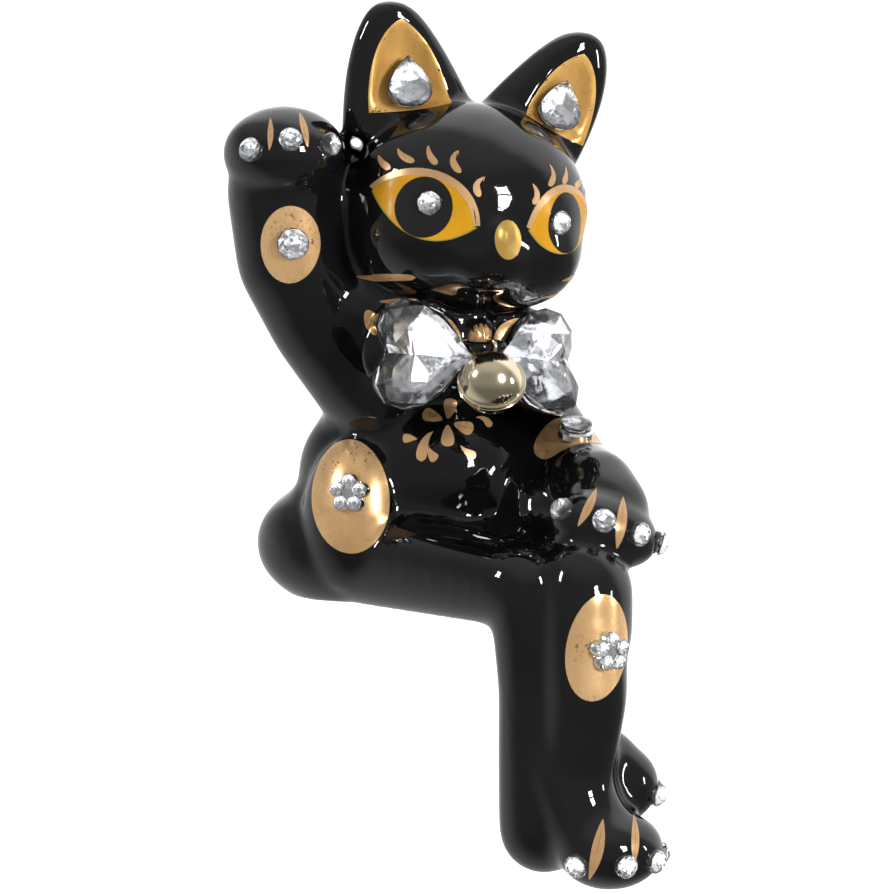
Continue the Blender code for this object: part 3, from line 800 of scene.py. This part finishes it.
def paint_claws(skin, looks):
    """The brush marks between the claw crystals."""
    marks = [
        ("raised_paw_mark_1", (-28.6, 91.3), (-28.7, 84.7), 1.1),
        ("raised_paw_mark_2", (-23.1, 92.6), (-21.4, 85.4), 1.3),
        ("raised_paw_mark_3", (-15.8, 86.6), (-16.3, 84.6), 0.8),
        ("resting_paw_mark_1", (33.5, 20.2), (29.7, 12.9), 1.6),
        ("resting_paw_mark_2", (38.5, 18.6), (37.1, 8.7), 2.0),
        ("left_foot_mark_1", (34.3, -42.1), (31.7, -53.4), 2.2),
        ("left_foot_mark_2", (40.3, -41.4), (40.0, -50.6), 1.5),
    ]
    for name, top, foot, width in marks:
        middle = (Vector(top) + Vector(foot)) / 2
        handles = [Vector(top) - middle, CLAW_BEND, Vector(foot) - middle]
        brushed(skin, name, quarter_plane(*middle), handles, width, leaf_shape, looks["tan"])


def paint_chest(skin, looks):
    """A small flower of round-ended petals with loose drops round it."""
    plane = quarter_plane(5.4, 33.9)
    petals = ((81, 0.6, 4.7), (160, 1.1, 5.2), (-19, 1.3, 5.3), (-90, 0.7, 5.0))
    for count, (angle, start, end) in enumerate(petals, 1):
        way = Vector((math.cos(math.radians(angle)), math.sin(math.radians(angle))))
        handles = [way * start, way * end]
        brushed(skin, f"chest_petal_{count}", plane, handles, PETAL_WIDTH, petal_shape, looks["tan"])
    drops = [
        ((5.6, 0.9), (7.6, 1.1), (8.4, -1.0), 1.5),
        ((-5.9, -3.45), (-7.2, -3.3), (-8.8, -3.3), 1.9),
        ((-2.8, -2.0), (-5.0, -3.4), (-5.2, -7.9), 2.3),
        ((-3.75, -5.0), (-3.4, -6.6), (-2.2, -7.6), 2.1),
        ((2.5, -4.75), (3.6, -6.3), (5.5, -6.9), 1.8),
    ]
    for count, (*handles, width) in enumerate(drops, 1):
        brushed(skin, f"chest_drop_{count}", plane, handles, width, drop_shape, looks["tan"])


def paint_bow(skin, looks):
    """The gilded lobes behind the heart crystals, and the gilded knot between them."""
    for side, word in ((-1.0, "right"), (1.0, "left")):
        middle = bow_frame() @ Vector((side * 10.6, 0.0, 3.6))
        plane = seat_frame(middle, Vector((0.0, -1.0, 0.0)))
        painted(skin, f"{word}_bow_lobe_gilding", plane, oval(14.2, 11.0), looks["gold"])
    painted(skin, "right_bow_fold_gilding", quarter_plane(-9.3, 52.6), oval(2.6, 5.4, 20.0), looks["gold"])

    def folds(spot, depth):
        return 0.35 * depth + 0.16 * math.cos(5.2 * spot.x + 0.5 * math.sin(3.0 * spot.y))

    knot = seat_frame(bow_frame() @ Vector((0.5, 0.0, 4.4)), Vector((0.0, -1.0, 0.0)))
    painted(skin, "bow_knot_gilding", knot, oval(5.6, 6.4), looks["gold"], swell=folds)


# Crystals


def seat_of(node):
    """A glued piece's frame and its width and height.

    The origin is in the middle of its flat back, z points out of the skin and y to its far end.
    """
    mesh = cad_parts[node].data
    best = (0.0, None)
    for face in mesh.polygons:
        flat = [other for other in mesh.polygons if other.normal.dot(face.normal) > 0.9995]
        area = sum(other.area for other in flat)
        if area > best[0]:
            best = (area, flat)
    area, flat = best
    out = -sum((face.normal * face.area for face in flat), Vector()).normalized()
    centre = sum((face.center * face.area for face in flat), Vector()) / area
    reach = [vert.co - centre for vert in mesh.vertices]
    reach = [way - out * way.dot(out) for way in reach]
    up = max(reach, key=lambda way: way.length).normalized()
    across = up.cross(out)
    places = [(way.dot(across), way.dot(up)) for way in reach]
    middle = [(min(axis) + max(axis)) / 2 for axis in zip(*places)]
    centre = centre + across * middle[0] + up * middle[1]
    width = [(max(axis) - min(axis)) / MM for axis in zip(*places)]
    turn = Matrix((across, up, out)).transposed().to_4x4()
    return Matrix.Translation(centre / MM) @ turn, width


def outline_at(outline, share):
    """A point at a share of the way round a closed outline, found along its edges."""
    place = (share % 1.0) * len(outline)
    first = int(place) % len(outline)
    start = Vector(outline[first])
    end = Vector(outline[(first + 1) % len(outline)])
    return start.lerp(end, place - int(place))


class Crystal:
    """A faceted crystal of any outline with the foil inside it and the bead of glue under it."""

    GLASS = 0
    FOIL = 1
    GLUE = 2

    def __init__(self, place, outline, facets):
        self.mesh = bmesh.new()
        self.place = place
        self.outline = outline
        self.facets = facets

    def ring(self, share, height, count, offset=0.0, shift=0.0):
        """Points round the outline, scaled to a share of it and moved by shift toward the far end."""
        corners = []
        for i in range(count):
            spot = outline_at(self.outline, (i + offset) / count) * share
            corners.append(self.mesh.verts.new(self.place @ Vector((spot.x, spot.y + shift, height))))
        return corners

    def face(self, corners, look):
        self.mesh.faces.new(corners).material_index = look

    def cut_glass(self, back, foot, top, kite, table):
        """The glass, over a (share, height) for each of its levels."""
        around = 2 * self.facets
        base = self.ring(*back, around)
        girdle_foot = self.ring(*foot, around)
        girdle = self.ring(*top, around)
        kites = self.ring(*kite, self.facets, 0.5)
        crown = self.ring(*table, self.facets)
        bridge(self.mesh, (base, girdle_foot, girdle))
        for i in range(self.facets):
            j = (i + 1) % self.facets
            self.face((girdle[2 * i], girdle[2 * i + 1], kites[i]), self.GLASS)
            self.face((girdle[2 * i + 1], girdle[(2 * i + 2) % around], kites[i]), self.GLASS)
            self.face((crown[i], kites[i - 1], girdle[2 * i], kites[i]), self.GLASS)
            self.face((crown[i], kites[i], crown[j]), self.GLASS)
        self.face(crown, self.GLASS)
        self.face(base[::-1], self.GLASS)

    def line_with_foil(self, back, foot, top, culet):
        """The foil inside, its deepest point moved from the middle by culet toward the far end."""
        rim = self.ring(FOIL_RIM * foot[0], foot[1] + 0.8 * (top[1] - foot[1]), self.facets)
        well = self.ring(FOIL_WELL, 0.1 + 0.4 * top[1], self.facets, 0.5, 0.6 * culet)
        bottom = self.ring(FOIL_BOTTOM * back[0], FOIL_FLOOR, self.facets)
        tip = self.mesh.verts.new(self.place @ Vector((0.0, culet, FOIL_TIP)))
        for i in range(self.facets):
            j = (i + 1) % self.facets
            self.face((rim[i], rim[j], well[i]), self.FOIL)
            self.face((well[i], rim[j], well[j]), self.FOIL)
            self.face((well[i], well[j], tip), self.FOIL)
            self.face((bottom[i], bottom[j], rim[j], rim[i]), self.FOIL)
        self.face(bottom[::-1], self.FOIL)

    def glue_down(self, back, depth):
        """A low bead of dark glue between the back and the skin, as deep as given."""
        levels = [(back[0] * share, height) for share, height in ((1.0, -depth), *GLUE_BEAD)]
        rows = [self.ring(*level, GLUE_SIDES) for level in levels]
        for side in bridge(self.mesh, rows):
            side.material_index = self.GLUE
            side.smooth = True
        self.face(rows[0][::-1], self.GLUE)
        self.face(rows[-1], self.GLUE)

    def to_piece(self, node, looks):
        """Ends the cutting and puts the crystal in the place of its CAD node."""
        self.mesh.transform(Matrix.Scale(MM, 4))
        data = finished(f"{node}_cut", self.mesh)
        for look in ("glass", "foil", "glue"):
            data.materials.append(looks[look])
        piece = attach(link(f"{node}_cut", data), "root")
        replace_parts(piece, node)


def cut_crystal(node, outline, facets, levels, looks, glue=GLUE_DEPTH, culet=0.0):
    """A crystal with its foil and glue.

    The levels are (share, height) for the back, the girdle's foot and top, the kites and the table.
    """
    place, _ = seat_of(node)
    crystal = Crystal(place, outline, facets)
    back, foot, top, _, _ = levels
    crystal.cut_glass(*levels)
    crystal.line_with_foil(back, foot, top, culet)
    crystal.glue_down(back, glue)
    crystal.to_piece(node, looks)


def round_crystal(node, looks, facets=8, swell=1.0, tall=1.0):
    """A round brilliant, as wide as its CAD node times swell."""
    _, width = seat_of(node)
    r = swell * max(width) / 2
    levels = [(0.9, 0.0), (1.0, 0.16 * r), (1.0, 0.28 * r), (0.78, 0.58 * r * tall), (0.5, 0.8 * r * tall)]
    cut_crystal(node, circle(r, 96), facets, levels, looks)


def shaped_crystal(node, outline, facets, looks):
    """A crystal of any outline, 2.6 mm deep."""
    levels = [(0.9, 0.0), (1.0, 0.5), (1.0, 0.9), (0.8, 1.9), (0.5, 2.6)]
    cut_crystal(node, outline, facets, levels, looks)


def heart_crystal(node, looks):
    """A heart with a shallow cleft, set with its point toward the seat frame's +y."""
    outline = []
    for x, y in heart_outline(HEART_SIZE, 56):
        if abs(x) < CLEFT_HALF and y > 0:
            y = max(y, HEART_TOP - CLEFT_DEPTH * (1 - abs(x) / CLEFT_HALF))
        outline.append(Vector((x, -y)))
    levels = [(0.92, 0.0), (1.0, 0.6), (1.0, 1.7), (0.82, 3.1), (0.52, 4.75)]
    cut_crystal(node, outline[::-1], 10, levels, looks, HEART_GLUE_DEPTH, HEART_CULET)


# Metal


def lathe(name, place, profile, look, body, sides=64, sharp=30):
    """A turned piece over (radius, height) levels, closed at both ends."""
    clay = Clay()
    clay.frame = place
    clay.loft(round_rings(profile, sides))
    piece = clay.to_object(name)
    tidy(piece, look, sharp)
    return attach(piece, body)


def tidy(piece, look, sharp):
    """Turns the faces outward, gives the piece its material and smooths it up to the sharp angle."""
    mesh = bmesh.new()
    mesh.from_mesh(piece.data)
    bmesh.ops.recalc_face_normals(mesh, faces=mesh.faces)
    mesh.to_mesh(piece.data)
    mesh.free()
    piece.data.materials.clear()
    piece.data.materials.append(look)
    piece.data.shade_smooth()
    piece.data.set_sharp_from_angle(angle=math.radians(sharp))


# The two cups' profiles: shares of their reach, and heights
FLOWER_CUP = (
    (0.9, -0.5),
    (0.96, 0.0),
    (1.03, 0.35),
    (1.06, 1.0),
    (1.02, 1.12),
    (0.96, 1.05),
    (0.94, 0.78),
)
ARM_CUP = (
    (0.6, -0.6),
    (0.8, -0.1),
    (1.0, 0.35),
    (1.02, 1.5),
    (0.96, 1.66),
    (0.9, 1.5),
    (0.88, 0.9),
    (0.07, 0.85),
)


def flower_setting(word, looks):
    """A cup with five round petals and a bead of metal in each gap between the stones."""
    node = f"{word}_flower_setting"
    place, width = seat_of(node)
    reach = max(width) / 2
    clay = Clay()
    clay.frame = place
    rings = []
    for share, height in FLOWER_CUP:
        outline = petal_outline(reach, 1.0, 80)
        rings.append([(x * share, y * share, height) for x, y in outline])
    clay.loft(rings)
    for count in range(5):
        angle = 2 * math.pi * (count + 0.5) / 5
        ring = 0.78 * reach
        clay.ball((-ring * math.sin(angle), ring * math.cos(angle), 1.15), (0.34, 0.34, 0.45))
    clay.ball((0.0, 0.0, 1.2), (0.95, 0.95, 0.9))
    piece = clay.to_object(f"{word}_flower_cup")
    tidy(piece, looks["silver"], 40)
    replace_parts(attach(piece, "root"), node)


def arm_setting(looks):
    """The round silver cup on the lowered arm."""
    place, width = seat_of("left_arm_setting")
    profile = [(share * max(width) / 2, height) for share, height in ARM_CUP]
    piece = lathe("left_arm_cup", place, profile, looks["silver"], "root")
    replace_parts(piece, "left_arm_setting")


def bell_cup_profile(lift):
    """A thin cup: its inner wall out to the joint, a rolled rim, and its outer wall back to the middle."""
    inner = BELL_RADIUS - BELL_WALL
    profile = []
    for step in range(15, -1, -1):
        angle = math.radians(6 * step)
        profile.append((max(0.02, inner * math.cos(angle)), lift + inner * math.sin(angle)))
    rim = BELL_RADIUS + BELL_RIM
    profile += [(rim - 0.12, lift), (rim, lift + 0.1), (rim, lift + 0.32), (rim - 0.12, lift + 0.44)]
    profile += [(BELL_RADIUS + 0.12, lift + 0.46), (BELL_RADIUS, lift + 0.62)]
    for step in range(2, 15):
        angle = math.radians(6 * step)
        profile.append((BELL_RADIUS * math.cos(angle), lift + BELL_RADIUS * math.sin(angle)))
    profile.append((0.02, lift + BELL_RADIUS))
    return profile


def back_shell(place, looks):
    """The bell's back cup, with its round-ended sound slit, from a frame whose z points to the back."""
    clay = Clay()
    clay.frame = place
    clay.loft(round_rings(bell_cup_profile(GLUE_GAP / 2), 64))
    back = clay.to_object("bell_back_shell")
    near, far = SLOT_REACH
    slit = Clay()
    slit.frame = place
    side = [(-SLOT_HALF, -SLOT_WIDE), (SLOT_HALF, -SLOT_WIDE)]
    corners = side + [(-x, -y) for x, y in side]
    slit.loft([[(x, y, z) for x, y in corners] for z in (near, far)])
    cut(back, slit.to_object("slit"))
    for end in (-1.0, 1.0):
        hole = place @ Matrix.Translation((end * (SLOT_HALF + 0.2), 0.0, 0.0))
        cut(back, peg("slit_end", hole, SLOT_END, near, far, 24))
    tidy(back, looks["bell"], 30)
    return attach(back, "bell")


def make_bell(looks):
    """Both cups with the seam band between them, painted dark as the shade in the gap between the cups, the
    ring and the staple.
    """
    place = bell_frame()
    lift = GLUE_GAP / 2
    front = lathe("bell_front_shell", place, bell_cup_profile(lift), looks["bell"], "bell")
    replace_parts(front, "bell_front_cup")
    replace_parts(back_shell(place @ Matrix.Rotation(math.pi, 4, "Y"), looks), "bell_back_cup")
    # The seam band fills the gap between the cups; its dark colour is painted shade for that gap.
    inside = BELL_RADIUS - 0.2
    outside = BELL_RADIUS + 0.35
    band = [(inside, -lift), (outside, -lift), (outside, lift), (inside, lift)]
    lathe("bell_seam", place, band, looks["seam_gap_shade"], "bell")
    eye = place @ Vector((0.0, BELL_RADIUS + BELL_RIM + EYE_RING + EYE_WIRE + GLUE_GAP, 0.0))
    make_eye_ring(eye, looks)
    make_staple(eye, looks)


def wire(name, routes, thick, fineness):
    """A round wire along one or more routes of points in millimetres; a route is (points, closed)."""
    curve = bpy.data.curves.new(name, "CURVE")
    curve.dimensions = "3D"
    curve.bevel_depth = thick * MM
    curve.bevel_resolution = fineness
    curve.use_fill_caps = True
    for points, closed in routes:
        spline = curve.splines.new("POLY")
        spline.points.add(len(points) - 1)
        spline.use_cyclic_u = closed
        for spot, place in zip(spline.points, points):
            spot.co = (*(Vector(place) * MM), 1.0)
    route = bpy.data.objects.new(f"{name}_route", curve)
    bpy.context.scene.collection.objects.link(route)
    mesh = bpy.data.meshes.new_from_object(route.evaluated_get(bpy.context.evaluated_depsgraph_get()))
    bpy.data.objects.remove(route, do_unlink=True)
    return link(name, mesh)


def make_eye_ring(eye, looks):
    """The wire ring on the bell's rim, with its short shank down to the rim."""
    ring = [eye + Vector((0.0, y, z)) for y, z in circle(EYE_RING, 48)]
    rim = bell_frame() @ Vector((0.0, BELL_RADIUS + 0.3, 0.0))
    shank = [eye + (rim - eye).normalized() * EYE_RING, rim]
    made = wire("bell_ring", [(ring, True), (shank, False)], EYE_WIRE, 5)
    tidy(made, looks["bell"], 50)
    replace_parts(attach(made, "bell"), "bell_eye")


def make_staple(eye, looks):
    """The thick glazed staple, with rounded bends."""
    _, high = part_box("bell_staple")
    foot = high.y / MM + 2.0
    half = []
    for step in range(7):
        angle = math.radians(90 * step / 6)
        across = -STAPLE_HALF + STAPLE_BEND * (1 - math.cos(angle))
        half.append((across, eye.y + STAPLE_BEND * (1 - math.sin(angle))))
    half.insert(0, (-STAPLE_HALF, foot))
    bent = half + [(-across, y) for across, y in reversed(half)]
    route = [(eye.x + across, y, eye.z) for across, y in bent]
    made = wire("glazed_staple", [(route, False)], STAPLE_GLAZED, 6)
    tidy(made, looks["glaze"], 60)
    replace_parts(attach(made, "root"), "bell_staple")


# Materials


class Look:
    """A node material with a Principled shader, built up a step at a time."""

    def __init__(self, name, **sockets):
        self.material = bpy.data.materials.new(name)
        self.material.use_nodes = True
        self.tree = self.material.node_tree
        self.shader = self.tree.nodes["Principled BSDF"]
        for socket, value in sockets.items():
            self.shader.inputs[socket.replace("_", " ")].default_value = value
        self.place = self.tree.nodes.new("ShaderNodeTexCoord").outputs["Object"]

    def noise(self, scale, detail=3.0, stretch=None):
        """Noise with features about 1 / scale metres across."""
        place = self.place
        if stretch:
            mapping = self.tree.nodes.new("ShaderNodeMapping")
            mapping.inputs["Scale"].default_value = stretch
            self.tree.links.new(place, mapping.inputs["Vector"])
            place = mapping.outputs["Vector"]
        node = self.tree.nodes.new("ShaderNodeTexNoise")
        node.inputs["Scale"].default_value = scale
        node.inputs["Detail"].default_value = detail
        self.tree.links.new(place, node.inputs["Vector"])
        return node.outputs["Fac"]

    def ramp(self, value, stops):
        """A ramp over (position, colour) stops."""
        node = self.tree.nodes.new("ShaderNodeValToRGB")
        points = node.color_ramp.elements
        while len(points) < len(stops):
            points.new(0.5)
        for point, (position, colour) in zip(points, stops):
            point.position = position
            point.color = (*colour, 1.0)
        self.tree.links.new(value, node.inputs["Fac"])
        return node.outputs["Color"]

    def spread(self, value, low, high, start=0.3, end=0.7):
        """A value stretched from start..end to low..high."""
        node = self.tree.nodes.new("ShaderNodeMapRange")
        for socket, number in zip(("From Min", "From Max", "To Min", "To Max"), (start, end, low, high)):
            node.inputs[socket].default_value = number
        self.tree.links.new(value, node.inputs["Value"])
        return node.outputs["Result"]

    def mix(self, share, a, b):
        node = self.tree.nodes.new("ShaderNodeMix")
        node.data_type = "RGBA"
        for socket, source in ((node.inputs["Factor"], share), (node.inputs[6], a), (node.inputs[7], b)):
            if isinstance(source, tuple):
                socket.default_value = (*source, 1.0)
            else:
                self.tree.links.new(source, socket)
        return node.outputs[2]

    def times(self, a, b):
        node = self.tree.nodes.new("ShaderNodeMath")
        node.operation = "MULTIPLY"
        self.tree.links.new(a, node.inputs[0])
        self.tree.links.new(b, node.inputs[1])
        return node.outputs["Value"]

    def feed(self, socket, source):
        self.tree.links.new(source, self.shader.inputs[socket])

    def bump(self, height, depth):
        """A bump of that depth in millimetres."""
        node = self.tree.nodes.new("ShaderNodeBump")
        node.inputs["Distance"].default_value = depth * MM
        self.tree.links.new(height, node.inputs["Height"])
        self.feed("Normal", node.outputs["Normal"])


def glaze(name="black_gloss_glaze", colour=(0.0018, 0.0018, 0.0021)):
    look = Look(name)
    cloud = look.noise(45.0)
    lighter = tuple(2.2 * channel for channel in colour)
    look.feed("Base Color", look.ramp(cloud, [(0.35, colour), (0.7, lighter)]))
    look.feed("Roughness", look.spread(look.noise(140.0), 0.025, 0.06))
    look.bump(look.noise(260.0, 2.0), 0.006)
    return look.material


def gold_lustre(name, light, dark, speckle, metallic, rough):
    """Fired gold lustre: brushed on unevenly, and worn or burnt in small dark specks."""
    look = Look(name, Metallic=metallic)
    streaks = look.noise(120.0, 4.0, (1.0, 1.0, 0.35))
    base = look.ramp(streaks, [(0.3, dark), (0.62, light)])
    specks = look.spread(look.noise(1500.0, 2.0), 0.0, 1.0, 0.6, 0.68)
    patches = look.spread(look.noise(85.0, 2.0), 0.0, speckle, 0.56, 0.66)
    look.feed("Base Color", look.mix(look.times(specks, patches), base, (0.06, 0.03, 0.012)))
    look.feed("Roughness", look.spread(look.noise(300.0), rough - 0.05, rough + 0.08))
    look.bump(look.noise(900.0, 3.0), 0.01)
    return look.material


def enamel(name, light, dark):
    look = Look(name, Coat_Weight=0.05, Coat_Roughness=0.1)
    look.shader.inputs["Specular IOR Level"].default_value = 0.08
    look.feed("Base Color", look.ramp(look.noise(160.0, 3.0), [(0.35, dark), (0.65, light)]))
    look.feed("Roughness", look.spread(look.noise(400.0), 0.25, 0.36))
    return look.material


def metal(name, light, dark, rough_low, rough_high, scale=300.0):
    look = Look(name, Metallic=1.0)
    look.feed("Base Color", look.ramp(look.noise(scale), [(0.35, dark), (0.65, light)]))
    look.feed("Roughness", look.spread(look.noise(2.0 * scale), rough_low, rough_high))
    return look.material


def glass():
    look = Look("clear_cut_crystal", Transmission_Weight=1.0, IOR=1.56)
    look.feed("Base Color", look.ramp(look.noise(200.0), [(0.3, (0.96, 0.98, 1.0)), (0.7, (1.0, 1.0, 1.0))]))
    look.feed("Roughness", look.spread(look.noise(700.0), 0.0, 0.02))
    return look.material


def make_looks():
    return {
        "glaze": glaze(),
        "gold": gold_lustre("gold_lustre", (0.70, 0.44, 0.21), (0.55, 0.33, 0.145), 0.95, 0.6, 0.25),
        "pale_gold": gold_lustre("gold_lustre_ears", (0.66, 0.38, 0.11), (0.46, 0.25, 0.06), 0.3, 0.45, 0.3),
        "tan": gold_lustre("gold_lustre_brushwork", (0.46, 0.275, 0.13), (0.36, 0.21, 0.095), 0.3, 0.4, 0.3),
        "nose": gold_lustre("gold_lustre_nose", (0.42, 0.27, 0.055), (0.30, 0.18, 0.035), 0.4, 0.45, 0.33),
        "amber": enamel("amber_enamel", (0.40, 0.20, 0.008), (0.35, 0.165, 0.006)),
        "olive": enamel("olive_enamel", (0.21, 0.17, 0.03), (0.15, 0.13, 0.025)),
        "pupil": glaze("pupil_black_glaze", (0.005, 0.005, 0.005)),
        "glass": glass(),
        "foil": metal("crystal_foil", (0.9, 0.91, 0.93), (0.72, 0.73, 0.76), 0.08, 0.2, 900.0),
        "glue": glaze("dark_glue", (0.012, 0.011, 0.010)),
        "silver": metal("silver_plate", (0.86, 0.85, 0.83), (0.7, 0.69, 0.66), 0.12, 0.24),
        "bell": metal("champagne_gold_plate", (0.83, 0.73, 0.52), (0.76, 0.65, 0.44), 0.12, 0.18, 150.0),
        # The seam's dark gold is painted shade: it stands for the shade in the gap between the bell's cups.
        "seam_gap_shade": metal("painted_shade_gold_seam", (0.28, 0.21, 0.1), (0.16, 0.12, 0.06), 0.3, 0.45),
        "steel": metal("plain_steel", (0.55, 0.55, 0.56), (0.42, 0.42, 0.43), 0.25, 0.4),
    }


# Studio


def studio():
    """A pale floor, a light tent and four softboxes."""
    level = Matrix.Translation((0.0, 0.0, cad_box[0].z - FLOOR_DROP))
    mesh = bmesh.new()
    bmesh.ops.create_grid(mesh, x_segments=8, y_segments=8, size=60.0, matrix=level)
    data = finished("studio_floor", mesh)
    floor = link("studio_floor", data)
    look = Look("pale_floor", Roughness=0.9)
    look.shader.inputs["Specular IOR Level"].default_value = 0.0
    look.shader.inputs["Emission Color"].default_value = (1.0, 1.0, 1.0, 1.0)
    look.shader.inputs["Emission Strength"].default_value = 0.55
    pale = [(0.3, (0.86, 0.86, 0.86)), (0.7, (0.88, 0.88, 0.88))]
    look.feed("Base Color", look.ramp(look.noise(3.0), pale))
    data.materials.append(look.material)
    floor.visible_glossy = False
    world = bpy.data.worlds.new("light_tent")
    world.use_nodes = True
    bpy.context.scene.world = world
    light_tent(world.node_tree)
    for box in SOFTBOXES:
        softbox(*box)


def wall_strength(tree, way, start, end, low, high):
    """How bright one wall is in each direction: low up to the start cosine, high from the end one."""
    place = tree.nodes.new("ShaderNodeTexCoord").outputs["Generated"]
    dot = tree.nodes.new("ShaderNodeVectorMath")
    dot.operation = "DOT_PRODUCT"
    dot.inputs[1].default_value = Vector(way).normalized()
    tree.links.new(place, dot.inputs[0])
    spread = tree.nodes.new("ShaderNodeMapRange")
    spread.interpolation_type = "SMOOTHSTEP"
    for socket, number in zip(("From Min", "From Max", "To Min", "To Max"), (start, end, low, high)):
        spread.inputs[socket].default_value = number
    tree.links.new(dot.outputs["Value"], spread.inputs["Value"])
    return spread.outputs["Result"]


def light_tent(tree):
    """Dim walls, a lighter ceiling and one bright wall, and plain white where the camera sees it directly."""
    nodes = tree.nodes
    links = tree.links
    nodes.clear()
    first, *others = [wall_strength(tree, *wall) for wall in WALLS]
    total = first
    for other in others:
        add = nodes.new("ShaderNodeMath")
        links.new(total, add.inputs[0])
        links.new(other, add.inputs[1])
        total = add.outputs["Value"]
    lights = nodes.new("ShaderNodeBackground")
    links.new(total, lights.inputs["Strength"])
    backdrop = nodes.new("ShaderNodeBackground")
    backdrop.inputs["Color"].default_value = (1.0, 1.0, 1.0, 1.0)
    path = nodes.new("ShaderNodeLightPath")
    mix = nodes.new("ShaderNodeMixShader")
    links.new(path.outputs["Is Camera Ray"], mix.inputs["Fac"])
    links.new(lights.outputs["Background"], mix.inputs[1])
    links.new(backdrop.outputs["Background"], mix.inputs[2])
    out = nodes.new("ShaderNodeOutputWorld")
    links.new(mix.outputs["Shader"], out.inputs["Surface"])


def softbox(name, place, width, height, power):
    light = bpy.data.lights.new(name, "AREA")
    light.shape = "RECTANGLE"
    light.size = width
    light.size_y = height
    light.energy = power
    lamp = bpy.data.objects.new(name, light)
    lamp.location = place
    lamp.rotation_euler = (Vector(LAMP_AIM) - Vector(place)).to_track_quat("-Z", "Y").to_euler()
    lamp.visible_camera = False
    bpy.context.scene.collection.objects.link(lamp)


def camera():
    azimuth = math.radians(CAMERA_AZIMUTH)
    elevation = math.radians(CAMERA_ELEVATION)
    level = Vector((math.sin(azimuth), -math.cos(azimuth), 0.0))
    back = level * math.cos(elevation) + Vector((0.0, 0.0, math.sin(elevation)))
    right = Vector((math.cos(azimuth), math.sin(azimuth), 0.0))
    up = back.cross(right)
    aim = right * CAMERA_AIM[0] + up * CAMERA_AIM[1]
    lens = bpy.data.cameras.new("camera")
    lens.sensor_width = SENSOR
    lens.lens = SENSOR * CAMERA_DISTANCE / FRAME_WIDTH
    lens.clip_start = 0.05
    lens.clip_end = 200.0
    eye = bpy.data.objects.new("camera", lens)
    eye.location = back * CAMERA_DISTANCE
    eye.rotation_euler = (aim - eye.location).to_track_quat("-Z", "Y").to_euler()
    bpy.context.scene.collection.objects.link(eye)
    bpy.context.scene.camera = eye
    bpy.context.scene.view_settings.view_transform = "Standard"


def dress_cat(looks):
    """The glazed casting with all its paint."""
    body = glazed_skin()
    body.data.materials.clear()
    body.data.materials.append(looks["glaze"])
    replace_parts(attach(body, "root"), "cat_body")
    skin = Skin(body)
    for side, word in ((-1.0, "right"), (1.0, "left")):
        paint_eye(skin, side, word, looks)
        paint_ear(skin, side, word, looks)
    paint_whiskers(skin, looks)
    paint_ovals(skin, looks)
    paint_claws(skin, looks)
    painted(skin, "nose", quarter_plane(16.8, 67.7), oval(5.1, 7.5), looks["nose"])
    paint_chest(skin, looks)
    paint_bow(skin, looks)


def set_stones(looks):
    """Every crystal and setting, each in the place of its CAD node."""
    for node in sorted(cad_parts):
        if node.endswith("heart_crystal"):
            heart_crystal(node, looks)
        elif node.endswith("ear_stone"):
            _, (width, height) = seat_of(node)
            shaped_crystal(node, pear_outline(1.2 * width, height, 60), 9, looks)
        elif "_flower_stone_" in node:
            round_crystal(node, looks, 6, 1.1)
        elif node == "left_arm_stone":
            round_crystal(node, looks, tall=0.65)
        elif "_stone" in node:
            round_crystal(node, looks)
    for word in ("right_haunch", "left_haunch", "left_shin"):
        flower_setting(word, looks)
    arm_setting(looks)


def main():
    looks = make_looks()
    camera()
    studio()
    dress_cat(looks)
    set_stones(looks)
    make_bell(looks)
    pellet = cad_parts["bell_pellet"].data
    pellet.materials.clear()
    pellet.materials.append(looks["steel"])


main()
